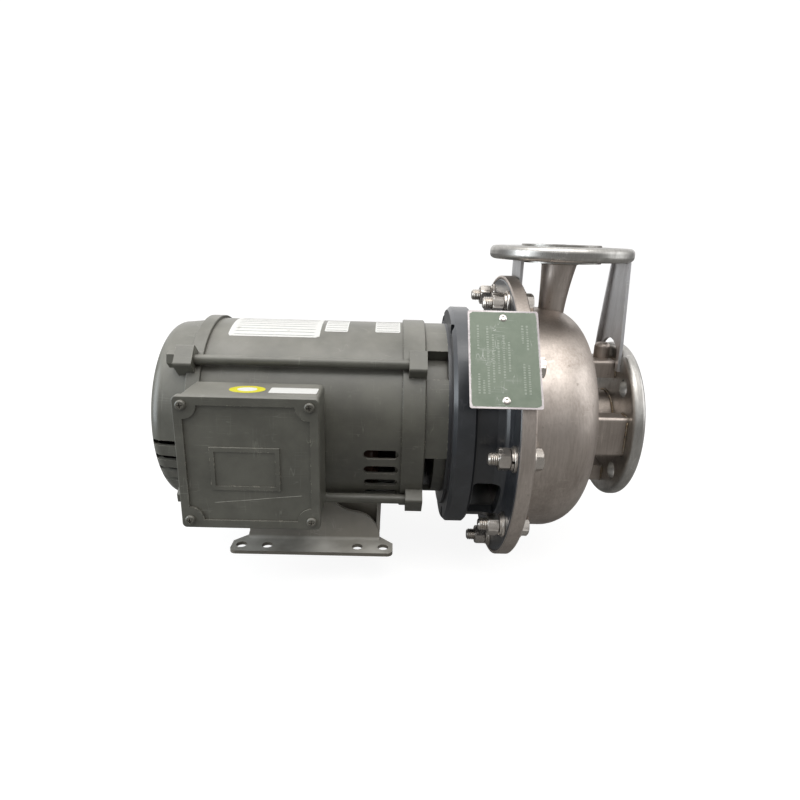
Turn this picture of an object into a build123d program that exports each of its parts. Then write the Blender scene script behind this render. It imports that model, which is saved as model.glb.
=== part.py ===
from build123d import *
import os
from math import acos, cos, degrees, radians, sin, sqrt

os.makedirs("parts", exist_ok=True)

# Frame of the model, in millimetres: the origin is the centre of the four outer foot holes, on the
# underside of the feet. +X runs along the shaft towards the pump, +Z is up, and the terminal box is on -Y.

# --- Motor: an open drip-proof 184JM motor ---
shaft_height = 114.3          # D, underside of the feet to the shaft axis
foot_hole_y = 95.25           # E, half the side to side hole spacing
foot_hole_x_outer = 69.85     # half the 5.5 in hole spacing
foot_hole_x_inner = 44.45     # half the 3.5 in hole spacing
foot_hole_d = 10.4            # H
foot_length = 158.8
foot_edge_y = 107.0           # centre plane to the long edge of a foot
foot_inner_y = 74.0
base_plate = 3.5
base_bend = 6.0
base_wall_top_y = 60.0
base_wall_height = 40.0
base_web_x = 66.0             # the cross webs' outer faces

frame_r = 97.0
frame_wall = 3.0
frame_rear_x = -102.5
frame_front_x = 85.0
frame_slot_length = 33.0
frame_slot_width = 9.6
frame_slot_margin = 2.4       # from the slots' ends to the frame's front edge
frame_slot_angles = (-7.5, -17.8, -27.9, -38.0)   # below the horizontal, on both sides

bell_ring_r = 100.0           # both end bells stand proud of the frame
bell_spigot = 5.0
bell_wall = 4.0
rear_ring_width = 13.0
rear_body_r = 95.0
rear_body_end_r = 92.5
rear_shoulder = 16.5          # axial depth of the rounded shoulder
rear_bell_depth = 53.0
rear_flat_r = 50.0
rear_slot_width = 5.6
rear_slot_angles = (-4.5, -14.5, -23.5, -32.5)
front_ring_width = 22.0
c_face_x = 128.0              # mounting face towards the pump
c_face_r = 84.0               # BD / 2
c_face_plate = 10.0
rabbet_r = 57.15              # AK / 2
rabbet_height = 3.2           # BB
c_face_bolt_r = 74.61         # AJ / 2
c_face_bolt_d = 9.525
pad_outer_r = 97.0
drum_wall = 6.0

lug_length = 16.5
lug_width = 22.5
lug_top_r = 113.0
through_bolt_r = 104.5
through_bolt_d = 9.5
through_head_af = 14.3
through_head = 7.5

# --- Rotor and bearings ---
stack_length = 90.0
stator_bore_r = 57.0
air_gap = 0.5
winding_length = 26.0
rotor_seat_r = 20.0
front_bearing = dict(x=100.0, width=16.0, bore_r=15.0, outer_r=31.0, ball_r=4.762, pitch_r=23.0)
rear_bearing = dict(x=-150.0, width=15.0, bore_r=12.5, outer_r=26.0, ball_r=3.969, pitch_r=19.25)
ball_count = 9
shaft_mid_r = 17.5
shaft_nose_r = 14.0
shaft_end_r = 11.1125         # U / 2
shaft_reach = 107.95          # AH, from the mounting face to the shaft's end
fan_r = 72.0
fan_blades = 8
fan_x = -112.0

# --- Terminal box ---
box_width = 119.4
box_height = 118.4
box_centre_x = -44.0
box_centre_z = 111.6
box_back_y = -99.0
box_face_y = -152.0
box_wall = 3.0
box_corner_r = 4.0
box_body_inset = 1.5          # the lid overhangs the box by this much
lid_thickness = 7.0
gasket_thickness = 1.5
lid_screw_inset = 7.5
lid_rim = 7.5
lid_recess = 1.6
blank_pad = (59.0, 39.0)
conduit_hole_r = 13.9
lead_hole_r = 14.0

# --- Adapter between motor and pump ---
adapter_ring_r = 115.0
adapter_ring_setback = 3.0    # from the mounting face to the ring
adapter_ring_width = 21.6
adapter_chamfer = 3.5
adapter_edge = 2.0
adapter_drum_r = 108.0
adapter_wall = 8.0
adapter_plate = 14.0
adapter_flange_x = 184.5
adapter_flange = 7.5
adapter_flare = 12.5
window_angles = (-35.0, -145.0)

# --- Pump casing: pressed stainless, EN 733 size 32-200 ---
suction_to_discharge = 80.0   # a, suction face to the discharge centreline
discharge_height = 180.0      # h2, shaft axis to the discharge face
discharge_x = 241.2
casing_rim_r = 148.0
casing_rim_lip = 3.0
casing_flange = 3.5
casing_wall = 3.0
casing_body_r = 117.0
shoulder_start_x = 232.0
shoulder_r = 40.0
shoulder_sweep = 75.0
cover_plate = 2.5
casing_bolts_count = 10
casing_bolt_circle_r = 131.0
casing_bolt_d = 12.0
casing_hole_clearance = 1.0
casing_bolt_af = 18.0
casing_nut = 10.8
casing_head = 7.5
casing_washer = 2.5
casing_washer_r = 12.0
bolt_overhang = 8.7
spring_washer = 2.5
spring_washer_r = 10.2

flange_thickness = 13.0       # without the raised face
raised_face = 2.0
rim_round = 5.0
flange_hole_d = 18.0
suction_flange_r = 82.5       # DN 50 PN 16
suction_pcd = 125.0
suction_raised_r = 49.5
suction_bore_r = 27.15
suction_neck_r = 30.15
neck_wall = 2.5
discharge_flange_r = 70.0     # DN 32 PN 16
discharge_pcd = 100.0
discharge_raised_r = 39.0
discharge_bore_r = 15.0
discharge_stub_r = 40.0
discharge_stub = 2.5
nozzle_top_r = 17.6
nozzle_foot_r = 13.0
nozzle_foot_shift = 3.7       # the nozzle leans away from the suction side by this much

stay_width = 40.0
stay_outer_r = 67.0
stay_thickness = 18.0
strut_plate = 3.0
left_strut_half = 20.0
right_strut_top_half = 20.0
right_strut_low_half = 28.0
right_strut_arch_z = 88.0     # above the shaft axis
right_strut_leg_z = 58.0
strut_lip = 4.5
strut_lip_top = 2.5

# --- Rotating pump parts and the shaft seal ---
impeller_r = 95.0
impeller_back_x = 229.0
shroud = 3.0
front_shroud = 2.5
outlet_width = 8.0
eye_r = 31.0
vane_count = 6
wear_gap = 0.3
wear_ring_reach = 30.2          # from the start of the casing's shoulder to the ring's lip
sleeve_r = 15.9
sleeve_start_x = 160.0
seal_bore_r = 19.2
key_size = 4.76
key_length = 12.0
screw_hole_depth = 28.0
slinger_r = 26.0

# --- Rating plate of the pump ---
plate_angle = 36.0            # the plate lies across this radius
plate_width = 60.7
plate_height = 89.5
plate_x = 168.8
plate_stand_r = 153.0
plate_thickness = 1.0
bracket_sheet = 2.5
plate_corner_r = 2.0
plate_drop = 2.3              # the plate sits this much below its bolt's radius
rivet_inset = 7.0

fit_gap = 0.02                # between pieces pressed or seated in each other
slide_gap = 0.1               # between pieces that turn inside each other

# --- Worked out from the above ---
bolt_angles = [360 / casing_bolts_count * i for i in range(casing_bolts_count)]
casing_hole_d = casing_bolt_d + casing_hole_clearance
through_angles = (42.3, 137.7, 217.7, 322.3)
c_face_angles = (45, 135, 225, 315)
frame_centre_x = (frame_rear_x + frame_front_x) / 2
frame_bore_r = frame_r - frame_wall
rear_back_x = frame_rear_x - rear_bell_depth
front_ring_x = frame_front_x + front_ring_width
adapter_back_x = adapter_flange_x + adapter_flange
casing_joint_x = adapter_back_x + cover_plate
casing_flange_x = casing_joint_x + casing_flange
suction_face_x = discharge_x + suction_to_discharge
suction_back_x = suction_face_x - raised_face - flange_thickness
discharge_face_z = shaft_height + discharge_height
discharge_back_z = discharge_face_z - raised_face - flange_thickness
neck_bore_r = suction_neck_r - neck_wall
shaft_end_x = c_face_x + shaft_reach

shaft_axis = Axis((0, 0, shaft_height), (1, 0, 0))
shaft_plane = Plane(origin=(0, 0, shaft_height), x_dir=(1, 0, 0), z_dir=(0, -1, 0))


def station(x):
    """Cross-section plane at x: local X is +Y, local Y is up, angles start at +Y."""
    return Plane(origin=(x, 0, shaft_height), x_dir=(0, 1, 0), z_dir=(1, 0, 0))


def radial(x, angle, stand_off):
    """Plane that faces outward at the angle, stand_off from the shaft axis; local X is along the shaft."""
    out = (0, cos(radians(angle)), sin(radians(angle)))
    return Plane(origin=(x, 0, shaft_height), x_dir=(1, 0, 0), z_dir=out).offset(stand_off)


def outline(*points):
    """Face through (x, radius) points in the plane of the shaft, ready to be revolved."""
    with BuildSketch(shaft_plane) as section:
        with BuildLine():
            Polyline(*points, close=True)
        make_face()
    return section.sketch


def sleeve_outline(x0, x1, inner_r, outer_r):
    """Face of a plain ring between two stations."""
    return outline((x0, inner_r), (x1, inner_r), (x1, outer_r), (x0, outer_r))


def save(builder, name):
    """Label the finished piece and write its file."""
    builder.part.label = name
    export_step(builder.part, f"parts/{name}.step")


# ---------------------------------------------------------------- motor frame
frame_slot_x = frame_front_x - frame_slot_margin - frame_slot_length / 2
box_pad_width = 70.0
box_pad_height = 60.0
with BuildPart() as motor_frame:
    revolve(sleeve_outline(frame_rear_x, frame_front_x, 0, frame_r), axis=shaft_axis)
    with BuildSketch(Plane.XZ.offset(-box_back_y)):
        with Locations((box_centre_x, shaft_height)):
            RectangleRounded(box_pad_width, box_pad_height, 6)
            Circle(lead_hole_r, mode=Mode.SUBTRACT)
    extrude(amount=box_back_y + frame_r - 10)
    revolve(sleeve_outline(frame_rear_x, frame_front_x, 0, frame_bore_r), axis=shaft_axis,
            mode=Mode.SUBTRACT)
    with BuildSketch(Plane.XZ.offset(-box_back_y)):
        with Locations((box_centre_x, shaft_height)):
            Circle(lead_hole_r)
    extrude(amount=-frame_r / 2, mode=Mode.SUBTRACT)
    for slot_angle in frame_slot_angles:
        for side_angle in (slot_angle, 180 - slot_angle):
            with BuildSketch(radial(frame_slot_x, side_angle, frame_bore_r - 10)):
                SlotOverall(frame_slot_length, frame_slot_width)
            extrude(amount=frame_wall + 20, mode=Mode.SUBTRACT)
save(motor_frame, "motor_frame")

# ---------------------------------------------------------------- rolled steel base
wall_foot_y = foot_inner_y + base_bend
with BuildPart() as motor_base:
    # Saddle wall of one side: leaves the foot plate in a bend and leans in under the frame.
    with BuildSketch(Plane.YZ.offset(-base_web_x)):
        with BuildLine():
            FilletPolyline((-foot_edge_y + 4, base_plate / 2), (-wall_foot_y, base_plate / 2),
                           (-base_wall_top_y, 45), radius=base_bend)
        trace(line_width=base_plate)
    extrude(amount=2 * base_web_x)
    # The wall is a hump: it reaches the frame in the middle and falls away to both ends.
    with BuildSketch(Plane.XZ):
        with BuildLine() as hump:
            right_flank = Spline((base_web_x, 7), (60, 19), (49, 26.5), (34, 29.5), (18, 38), (12, 56))
            Line(right_flank @ 1, (-12, 56))
            left_flank = Spline((-12, 56), (-18, 38), (-34, 29.5), (-49, 26.5), (-60, 19), (-base_web_x, 7))
            Polyline(left_flank @ 1, (-base_web_x, 0), (base_web_x, 0), right_flank @ 0)
        make_face()
    extrude(amount=foot_edge_y * 2, both=True, mode=Mode.INTERSECT)
    with BuildSketch():
        with Locations((0, -(foot_edge_y + foot_inner_y) / 2)):
            Rectangle(foot_length, foot_edge_y - foot_inner_y)
    extrude(amount=base_plate)
    fillet(motor_base.edges().filter_by(Axis.Z).group_by(Axis.Y)[0], 6)
    chamfer(motor_base.edges().filter_by(Axis.Z).filter_by_position(Axis.X, -foot_length, -75)
            .group_by(Axis.Y)[-1], 14)
    chamfer(motor_base.edges().filter_by(Axis.Z).filter_by_position(Axis.X, 75, foot_length)
            .group_by(Axis.Y)[-1], 14)
    mirror(about=Plane.XZ)
    # Upright walls and cross webs make a box under the motor.
    with BuildSketch(Plane.XY.offset(base_plate)):
        with GridLocations(0, 2 * base_wall_top_y - base_plate, 1, 2):
            Rectangle(2 * base_web_x, base_plate)
    extrude(amount=base_wall_height)
    for web_x in (-base_web_x, base_web_x - base_plate):
        with BuildSketch(Plane.YZ.offset(web_x)):
            with BuildLine():
                Polyline((-wall_foot_y + 4, 9), (-base_wall_top_y + 3, 44), (base_wall_top_y - 3, 44),
                         (wall_foot_y - 4, 9), close=True)
            make_face()
        extrude(amount=base_plate)
    revolve(sleeve_outline(-foot_length, foot_length, 0, frame_r), axis=shaft_axis, mode=Mode.SUBTRACT)
    for hole_x in (foot_hole_x_inner, foot_hole_x_outer):
        with BuildSketch():
            with GridLocations(2 * hole_x, 2 * foot_hole_y, 2, 2):
                Circle(foot_hole_d / 2)
        extrude(amount=base_plate, mode=Mode.SUBTRACT)
save(motor_base, "motor_base")


def lugs(x0, hole_d, inner_r):
    """Four bolt lugs round the motor, lug_length long from x0, drilled for the through bolts."""
    with BuildPart() as ears:
        with BuildSketch(station(x0)):
            for angle in through_angles:
                with PolarLocations((inner_r + lug_top_r) / 2, 1, angle):
                    RectangleRounded(lug_top_r - inner_r, lug_width, 2.5)
                with PolarLocations(through_bolt_r, 1, angle):
                    Circle(hole_d / 2, mode=Mode.SUBTRACT)
        extrude(amount=lug_length)
    return ears.part


def bolt_holes(x0, length, hole_d):
    """Four through bolt holes from x0."""
    with BuildPart() as holes:
        with BuildSketch(station(x0)):
            for angle in through_angles:
                with PolarLocations(through_bolt_r, 1, angle):
                    Circle(hole_d / 2)
        extrude(amount=length)
    return holes.part


# ---------------------------------------------------------------- rear end bell
rear_ring_x = frame_rear_x - rear_ring_width
rear_round_x = rear_back_x + rear_shoulder
spigot_r = frame_bore_r - fit_gap
rear_lug_x = rear_ring_x - lug_length / 2
rear_hub_r = rear_bearing["outer_r"] + 6
rear_hub_end_x = rear_bearing["x"] + rear_bearing["width"] + 1
rear_pocket_x = rear_back_x + bell_wall
rear_hole_d = through_bolt_d + 0.7
with BuildPart() as rear_end_bell:
    with BuildSketch(shaft_plane):
        with BuildLine():
            Polyline((rear_pocket_x, 0), (rear_back_x, 0), (rear_back_x, rear_flat_r))
            Bezier((rear_back_x, rear_flat_r), (rear_back_x, 76), (rear_back_x + 3, rear_body_end_r),
                   (rear_round_x, rear_body_end_r))
            Polyline((rear_round_x, rear_body_end_r), (rear_ring_x, rear_body_r),
                     (rear_ring_x, bell_ring_r - 1), (rear_ring_x + 1, bell_ring_r),
                     (frame_rear_x - 0.5, bell_ring_r), (frame_rear_x, bell_ring_r - 0.5),
                     (frame_rear_x, spigot_r), (frame_rear_x + bell_spigot, spigot_r),
                     (frame_rear_x + bell_spigot, spigot_r - bell_wall),
                     (rear_ring_x, rear_body_r - bell_wall),
                     (rear_round_x, rear_body_end_r - bell_wall))
            Bezier((rear_round_x, rear_body_end_r - bell_wall),
                   (rear_pocket_x + 3, rear_body_end_r - bell_wall), (rear_pocket_x, 73),
                   (rear_pocket_x, rear_flat_r))
            Polyline((rear_pocket_x, rear_flat_r), (rear_pocket_x, rear_hub_r),
                     (rear_hub_end_x, rear_hub_r), (rear_hub_end_x, rear_bearing["outer_r"] + fit_gap),
                     (rear_pocket_x, rear_bearing["outer_r"] + fit_gap), (rear_pocket_x, 0))
        make_face()
    revolve(axis=shaft_axis)
    add(lugs(rear_lug_x, rear_hole_d, rear_body_end_r - bell_wall / 2))
    for slot_angle in rear_slot_angles:
        for side_angle in (slot_angle, 180 - slot_angle):
            with BuildSketch(radial(rear_back_x + 18, side_angle, rear_flat_r + 15)):
                SlotOverall(24, rear_slot_width)
            extrude(amount=rear_body_r - rear_flat_r, mode=Mode.SUBTRACT)
    add(bolt_holes(rear_lug_x - 1, frame_rear_x - rear_lug_x + 2, rear_hole_d), mode=Mode.SUBTRACT)
    # Seat for the bolt heads, flat on the back of each lug.
    with BuildSketch(station(rear_lug_x - 12)):
        for angle in through_angles:
            with PolarLocations(through_bolt_r, 1, angle):
                Circle(through_head_af / 2 + 2.5)
    extrude(amount=12, mode=Mode.SUBTRACT)
save(rear_end_bell, "rear_end_bell")

# ---------------------------------------------------------------- front end bell
front_hub_r = front_bearing["outer_r"] + 7
front_hub_x = front_bearing["x"] - 3
front_hub_end_x = front_bearing["x"] + front_bearing["width"] + 1
front_lug_x = front_ring_x - lug_length
drum_r = c_face_r
c_plate_x = c_face_x - c_face_plate
with BuildPart() as front_end_bell:
    revolve(outline((frame_front_x - bell_spigot, spigot_r - bell_wall),
                    (frame_front_x - bell_spigot, spigot_r),
                    (frame_front_x, spigot_r), (frame_front_x, bell_ring_r - 0.5),
                    (frame_front_x + 0.5, bell_ring_r), (front_ring_x - 1, bell_ring_r),
                    (front_ring_x, bell_ring_r - 1), (front_ring_x, drum_r),
                    (c_face_x, drum_r), (c_face_x, rabbet_r), (c_face_x + rabbet_height, rabbet_r),
                    (c_face_x + rabbet_height, rabbet_r - 7), (c_plate_x, rabbet_r - 7),
                    (c_plate_x, drum_r - drum_wall), (front_ring_x, drum_r - drum_wall),
                    (front_ring_x, front_hub_r), (front_hub_end_x, front_hub_r),
                    (front_hub_end_x, front_bearing["bore_r"] + 4),
                    (front_hub_end_x - 1, front_bearing["bore_r"] + 4),
                    (front_hub_end_x - 1, front_bearing["outer_r"] + fit_gap),
                    (front_hub_x, front_bearing["outer_r"] + fit_gap), (front_hub_x, front_hub_r),
                    (front_ring_x - 6, front_hub_r), (front_ring_x - 6, spigot_r - bell_wall)),
            axis=shaft_axis)
    # Three pads stand between the ring and the mounting face: one on top and one on each side.
    with BuildSketch(station(front_ring_x - 1)):
        Circle(pad_outer_r)
        Circle(drum_r - 0.5, mode=Mode.SUBTRACT)
    extrude(amount=c_face_x - front_ring_x + 1)
    for first, last in ((36, 55), (125, 144), (189, 351)):
        middle = radians((first + last) / 2)
        half = radians((last - first) / 2)
        reach = 2 * pad_outer_r
        with BuildSketch(station(front_ring_x)):
            with BuildLine():
                inner = (drum_r * cos(middle), drum_r * sin(middle))
                near_edge = (reach * cos(middle - half), reach * sin(middle - half))
                far_edge = (reach * cos(middle + half), reach * sin(middle + half))
                if last - first < 90:
                    Polyline((0, 0), near_edge, far_edge, close=True)
                else:
                    Polyline((0, 0), near_edge, (near_edge[0], -reach), (far_edge[0], -reach), far_edge,
                             close=True)
            make_face()
            Circle(drum_r, mode=Mode.SUBTRACT)
        extrude(amount=c_face_x - front_ring_x, mode=Mode.SUBTRACT)
    add(lugs(front_lug_x, through_bolt_d + 2 * fit_gap, spigot_r))
    add(bolt_holes(frame_front_x - 1, front_ring_width + 2, through_bolt_d + 2 * fit_gap), mode=Mode.SUBTRACT)
    # Drip-proof windows in the drum, low on both sides.
    for side_angle in (-35, -145):
        with BuildSketch(radial((front_ring_x + c_plate_x) / 2, side_angle, front_hub_r + 8)):
            Rectangle(c_plate_x - front_ring_x - 1, 62)
        extrude(amount=drum_r - front_hub_r, mode=Mode.SUBTRACT)
    with BuildSketch(station(c_plate_x - 1)):
        with PolarLocations(c_face_bolt_r, 4, 45):
            Circle(c_face_bolt_d / 2 + fit_gap)
    extrude(amount=c_face_plate + 2, mode=Mode.SUBTRACT)
save(front_end_bell, "front_end_bell")

# ---------------------------------------------------------------- through bolts
with BuildPart() as through_bolts:
    for angle in through_angles:
        with BuildSketch(station(rear_lug_x - through_head)):
            with PolarLocations(through_bolt_r, 1, angle):
                RegularPolygon(through_head_af / 2, 6, major_radius=False)
        extrude(amount=through_head)
        with BuildSketch(station(rear_lug_x)):
            with PolarLocations(through_bolt_r, 1, angle):
                Circle(through_bolt_d / 2)
        extrude(amount=front_ring_x - rear_lug_x - 0.5)
    chamfer(through_bolts.edges().filter_by(GeomType.LINE).group_by(Axis.X)[0], 0.6)
save(through_bolts, "through_bolts")

# ---------------------------------------------------------------- stator
stack_x0 = frame_centre_x - stack_length / 2
stack_x1 = frame_centre_x + stack_length / 2
slot_count = 24
slot_depth = 20.0
slot_width = 8.0
with BuildPart() as stator_core:
    with BuildSketch(station(stack_x0)):
        Circle(frame_bore_r - fit_gap)
        Circle(stator_bore_r, mode=Mode.SUBTRACT)
        with PolarLocations(stator_bore_r + 1.5 + slot_depth / 2, slot_count):
            Rectangle(slot_depth, slot_width, mode=Mode.SUBTRACT)
    extrude(amount=stack_length)
save(stator_core, "stator_core")

with BuildPart() as stator_windings:
    with BuildSketch(station(stack_x0 - 1)):
        with PolarLocations(stator_bore_r + 1.5 + slot_depth / 2, slot_count):
            Rectangle(slot_depth - 1, slot_width - 1)
    extrude(amount=stack_length + 2)
    coil_in = stator_bore_r + 2.5
    coil_out = stator_bore_r + 2.5 + slot_depth
    for end_x, sign in ((stack_x0 - 0.5, -1), (stack_x1 + 0.5, 1)):
        revolve(outline((end_x, coil_in), (end_x + sign * (winding_length - 5), coil_in + 1),
                        (end_x + sign * winding_length, coil_in + 6),
                        (end_x + sign * winding_length, coil_out - 2),
                        (end_x + sign * (winding_length - 5), coil_out + 4), (end_x, coil_out)),
                axis=shaft_axis)
save(stator_windings, "stator_windings")

# ---------------------------------------------------------------- rotor
rotor_r = stator_bore_r - air_gap
with BuildPart() as rotor_core:
    revolve(sleeve_outline(stack_x0, stack_x1, rotor_seat_r + fit_gap, rotor_r), axis=shaft_axis)
save(rotor_core, "rotor_core")

with BuildPart() as rotor_end_rings:
    for end_x, sign in ((stack_x0, -1), (stack_x1, 1)):
        revolve(sleeve_outline(end_x, end_x + sign * 10, rotor_seat_r + 8, rotor_r - 1), axis=shaft_axis)
        with BuildSketch(station(end_x + sign * 10)):
            with PolarLocations(rotor_r - 8, 12):
                Rectangle(12, 3)
        extrude(amount=sign * 10)
save(rotor_end_rings, "rotor_end_rings")

with BuildPart() as cooling_fan:
    revolve(outline((fan_x - 4, 16 + fit_gap), (fan_x + 14, 16 + fit_gap), (fan_x + 14, 24), (fan_x + 3, 26),
                    (fan_x + 3, fan_r), (fan_x, fan_r), (fan_x, 26), (fan_x - 4, 22)), axis=shaft_axis)
    with BuildSketch(station(fan_x - 12)):
        with PolarLocations((30 + fan_r - 2) / 2, fan_blades):
            Rectangle(fan_r - 32, 2.5)
    extrude(amount=13)
save(cooling_fan, "cooling_fan")

rear_seat_end_x = rear_bearing["x"] + rear_bearing["width"]
front_seat_x = front_bearing["x"]
front_seat_end_x = front_seat_x + front_bearing["width"]
nose_end_x = sleeve_start_x
with BuildPart() as motor_shaft:
    revolve(outline((rear_bearing["x"] + 0.5, 0), (rear_bearing["x"] + 0.5, rear_bearing["bore_r"] - 1),
                    (rear_bearing["x"] + 1.5, rear_bearing["bore_r"]),
                    (rear_seat_end_x, rear_bearing["bore_r"]),
                    (rear_seat_end_x, 16), (stack_x0, 16), (stack_x0, rotor_seat_r), (stack_x1, rotor_seat_r),
                    (stack_x1, shaft_mid_r), (front_seat_x, shaft_mid_r),
                    (front_seat_x, front_bearing["bore_r"]), (front_seat_end_x, front_bearing["bore_r"]),
                    (front_seat_end_x, shaft_nose_r), (nose_end_x, shaft_nose_r), (nose_end_x, shaft_end_r),
                    (shaft_end_x - 1, shaft_end_r), (shaft_end_x, shaft_end_r - 1), (shaft_end_x, 0)),
            axis=shaft_axis)
    with BuildSketch(station(shaft_end_x)):
        Circle(c_face_bolt_d / 2 + fit_gap)
    extrude(amount=-screw_hole_depth, mode=Mode.SUBTRACT)
    with BuildSketch(Plane.XY.offset(shaft_height + shaft_end_r - key_size / 2)):
        with Locations((shaft_end_x - 1 - key_length / 2, 0)):
            Rectangle(key_length, key_size)
    extrude(amount=key_size, mode=Mode.SUBTRACT)
save(motor_shaft, "motor_shaft")


def bearing_ring(size, inner):
    """Inner or outer ring of a ball bearing, with its groove."""
    groove_r = size["ball_r"] + slide_gap
    middle_x = size["x"] + size["width"] / 2
    if inner:
        low, high = size["bore_r"] + fit_gap, size["pitch_r"] - size["ball_r"] * 0.6
    else:
        low, high = size["pitch_r"] + size["ball_r"] * 0.6, size["outer_r"]
    with BuildPart() as ring:
        revolve(sleeve_outline(size["x"], size["x"] + size["width"], low, high), axis=shaft_axis)
        with BuildSketch(shaft_plane):
            with Locations((middle_x, size["pitch_r"])):
                Circle(groove_r)
        revolve(axis=shaft_axis, mode=Mode.SUBTRACT)
    return ring


def ball_cage(size):
    """The balls of a bearing and the cage that spaces them."""
    middle_x = size["x"] + size["width"] / 2
    half = size["ball_r"] * 0.4
    with BuildPart() as cage:
        revolve(sleeve_outline(middle_x - 3.4, middle_x + 3.4, size["pitch_r"] - half,
                               size["pitch_r"] + half), axis=shaft_axis)
        with Locations(station(middle_x)):
            with PolarLocations(size["pitch_r"], ball_count):
                Sphere(size["ball_r"] + slide_gap, mode=Mode.SUBTRACT)
                Sphere(size["ball_r"])
    return cage


front_bearing_outer = bearing_ring(front_bearing, inner=False)
save(front_bearing_outer, "front_bearing_outer_ring")
front_bearing_inner = bearing_ring(front_bearing, inner=True)
save(front_bearing_inner, "front_bearing_inner_ring")
front_cage = ball_cage(front_bearing)
save(front_cage, "front_bearing_balls")
rear_bearing_outer = bearing_ring(rear_bearing, inner=False)
save(rear_bearing_outer, "rear_bearing_outer_ring")
rear_bearing_inner = bearing_ring(rear_bearing, inner=True)
save(rear_bearing_inner, "rear_bearing_inner_ring")
rear_cage = ball_cage(rear_bearing)
save(rear_cage, "rear_bearing_balls")

with BuildPart() as preload_washer:
    revolve(sleeve_outline(rear_pocket_x, rear_bearing["x"], rear_bearing["outer_r"] - 5,
                           rear_bearing["outer_r"] - 0.2), axis=shaft_axis)
save(preload_washer, "bearing_preload_washer")

# ---------------------------------------------------------------- terminal box
lid_inner_y = box_face_y + lid_thickness
body_front_y = lid_inner_y + gasket_thickness
box_centre = (box_centre_x, box_centre_z)
body_width = box_width - 2 * box_body_inset
body_height = box_height - 2 * box_body_inset
screw_x = box_width / 2 - lid_screw_inset
screw_z = box_height / 2 - lid_screw_inset
box_screw_spots = [(box_centre_x + sx * screw_x, box_centre_z + sz * screw_z)
                   for sx in (-1, 1) for sz in (-1, 1)]
box_mount_spots = [(box_centre_x + side * 26, shaft_height) for side in (-1, 1)]
lid_screw_d = 4.8
with BuildPart() as box_body:
    with BuildSketch(Plane.XZ.offset(-box_back_y)):
        with Locations(box_centre):
            RectangleRounded(body_width, body_height, box_corner_r)
    extrude(amount=box_back_y - body_front_y)
    with BuildSketch(Plane.XZ.offset(-box_back_y + box_wall)):
        with Locations(box_centre):
            RectangleRounded(body_width - 2 * box_wall, body_height - 2 * box_wall, box_corner_r - 2)
    extrude(amount=box_back_y - body_front_y, mode=Mode.SUBTRACT)
    # Corner posts take the lid screws.
    with BuildSketch(Plane.XZ.offset(-box_back_y)):
        with Locations(*box_screw_spots):
            Circle(lid_screw_d)
    extrude(amount=box_back_y - body_front_y)
    with BuildSketch(Plane.XZ.offset(-body_front_y)):
        with Locations(*box_screw_spots):
            Circle(lid_screw_d / 2 + fit_gap)
    extrude(amount=-16, mode=Mode.SUBTRACT)
    with BuildSketch(Plane.XZ.offset(-box_back_y)):
        with Locations((box_centre_x, shaft_height)):
            Circle(lead_hole_r)
        with Locations(*box_mount_spots):
            Circle(3.2)
    extrude(amount=box_wall + 1, mode=Mode.SUBTRACT)
    conduit_y = (box_back_y + body_front_y) / 2
    with BuildSketch(Plane.XY.offset(box_centre_z - box_height / 2)):
        with Locations((box_centre_x, conduit_y)):
            Circle(conduit_hole_r)
    extrude(amount=box_wall + 2, mode=Mode.SUBTRACT)
save(box_body, "junction_box_body")

with BuildPart() as box_gasket:
    with BuildSketch(Plane.XZ.offset(-body_front_y)):
        with Locations(box_centre):
            RectangleRounded(body_width, body_height, box_corner_r)
            RectangleRounded(body_width - 22, body_height - 22, box_corner_r, mode=Mode.SUBTRACT)
        with Locations(*box_screw_spots):
            Circle(lid_screw_d / 2 + 0.3, mode=Mode.SUBTRACT)
    extrude(amount=gasket_thickness)
save(box_gasket, "junction_box_gasket")

corner_pad_r = 15.0
with BuildPart() as box_lid:
    with BuildSketch(Plane.XZ.offset(-lid_inner_y)):
        with Locations(box_centre):
            RectangleRounded(box_width, box_height, box_corner_r)
    extrude(amount=lid_thickness)
    fillet(box_lid.faces().sort_by(Axis.Y)[0].edges(), 1.0)
    # The panel is sunk inside a rim, and a quarter round at each corner leaves room for a screw.
    with BuildSketch(Plane.XZ.offset(-box_face_y)):
        with Locations(box_centre):
            Rectangle(box_width - 2 * lid_rim, box_height - 2 * lid_rim)
        with Locations(*box_screw_spots):
            Circle(corner_pad_r - 3, mode=Mode.SUBTRACT)
    extrude(amount=-lid_recess, mode=Mode.SUBTRACT)
    with BuildSketch(Plane.XZ.offset(-box_face_y - lid_recess)):
        with Locations((box_centre_x - 3, box_centre_z - 4)):
            Rectangle(*blank_pad)
    extrude(amount=lid_recess * 0.7, taper=15)
    with BuildSketch(Plane.XZ.offset(-box_face_y - lid_recess * 0.3)):
        with Locations((box_centre_x - 3, box_centre_z - 4)):
            Rectangle(blank_pad[0] - 8, blank_pad[1] - 8)
    extrude(amount=-lid_recess * 0.5, mode=Mode.SUBTRACT)
    with BuildSketch(Plane.XZ.offset(-box_face_y)):
        with Locations(*box_screw_spots):
            Circle(lid_screw_d / 2 + 0.2)
    extrude(amount=-lid_thickness, mode=Mode.SUBTRACT)
save(box_lid, "junction_box_lid")


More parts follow.
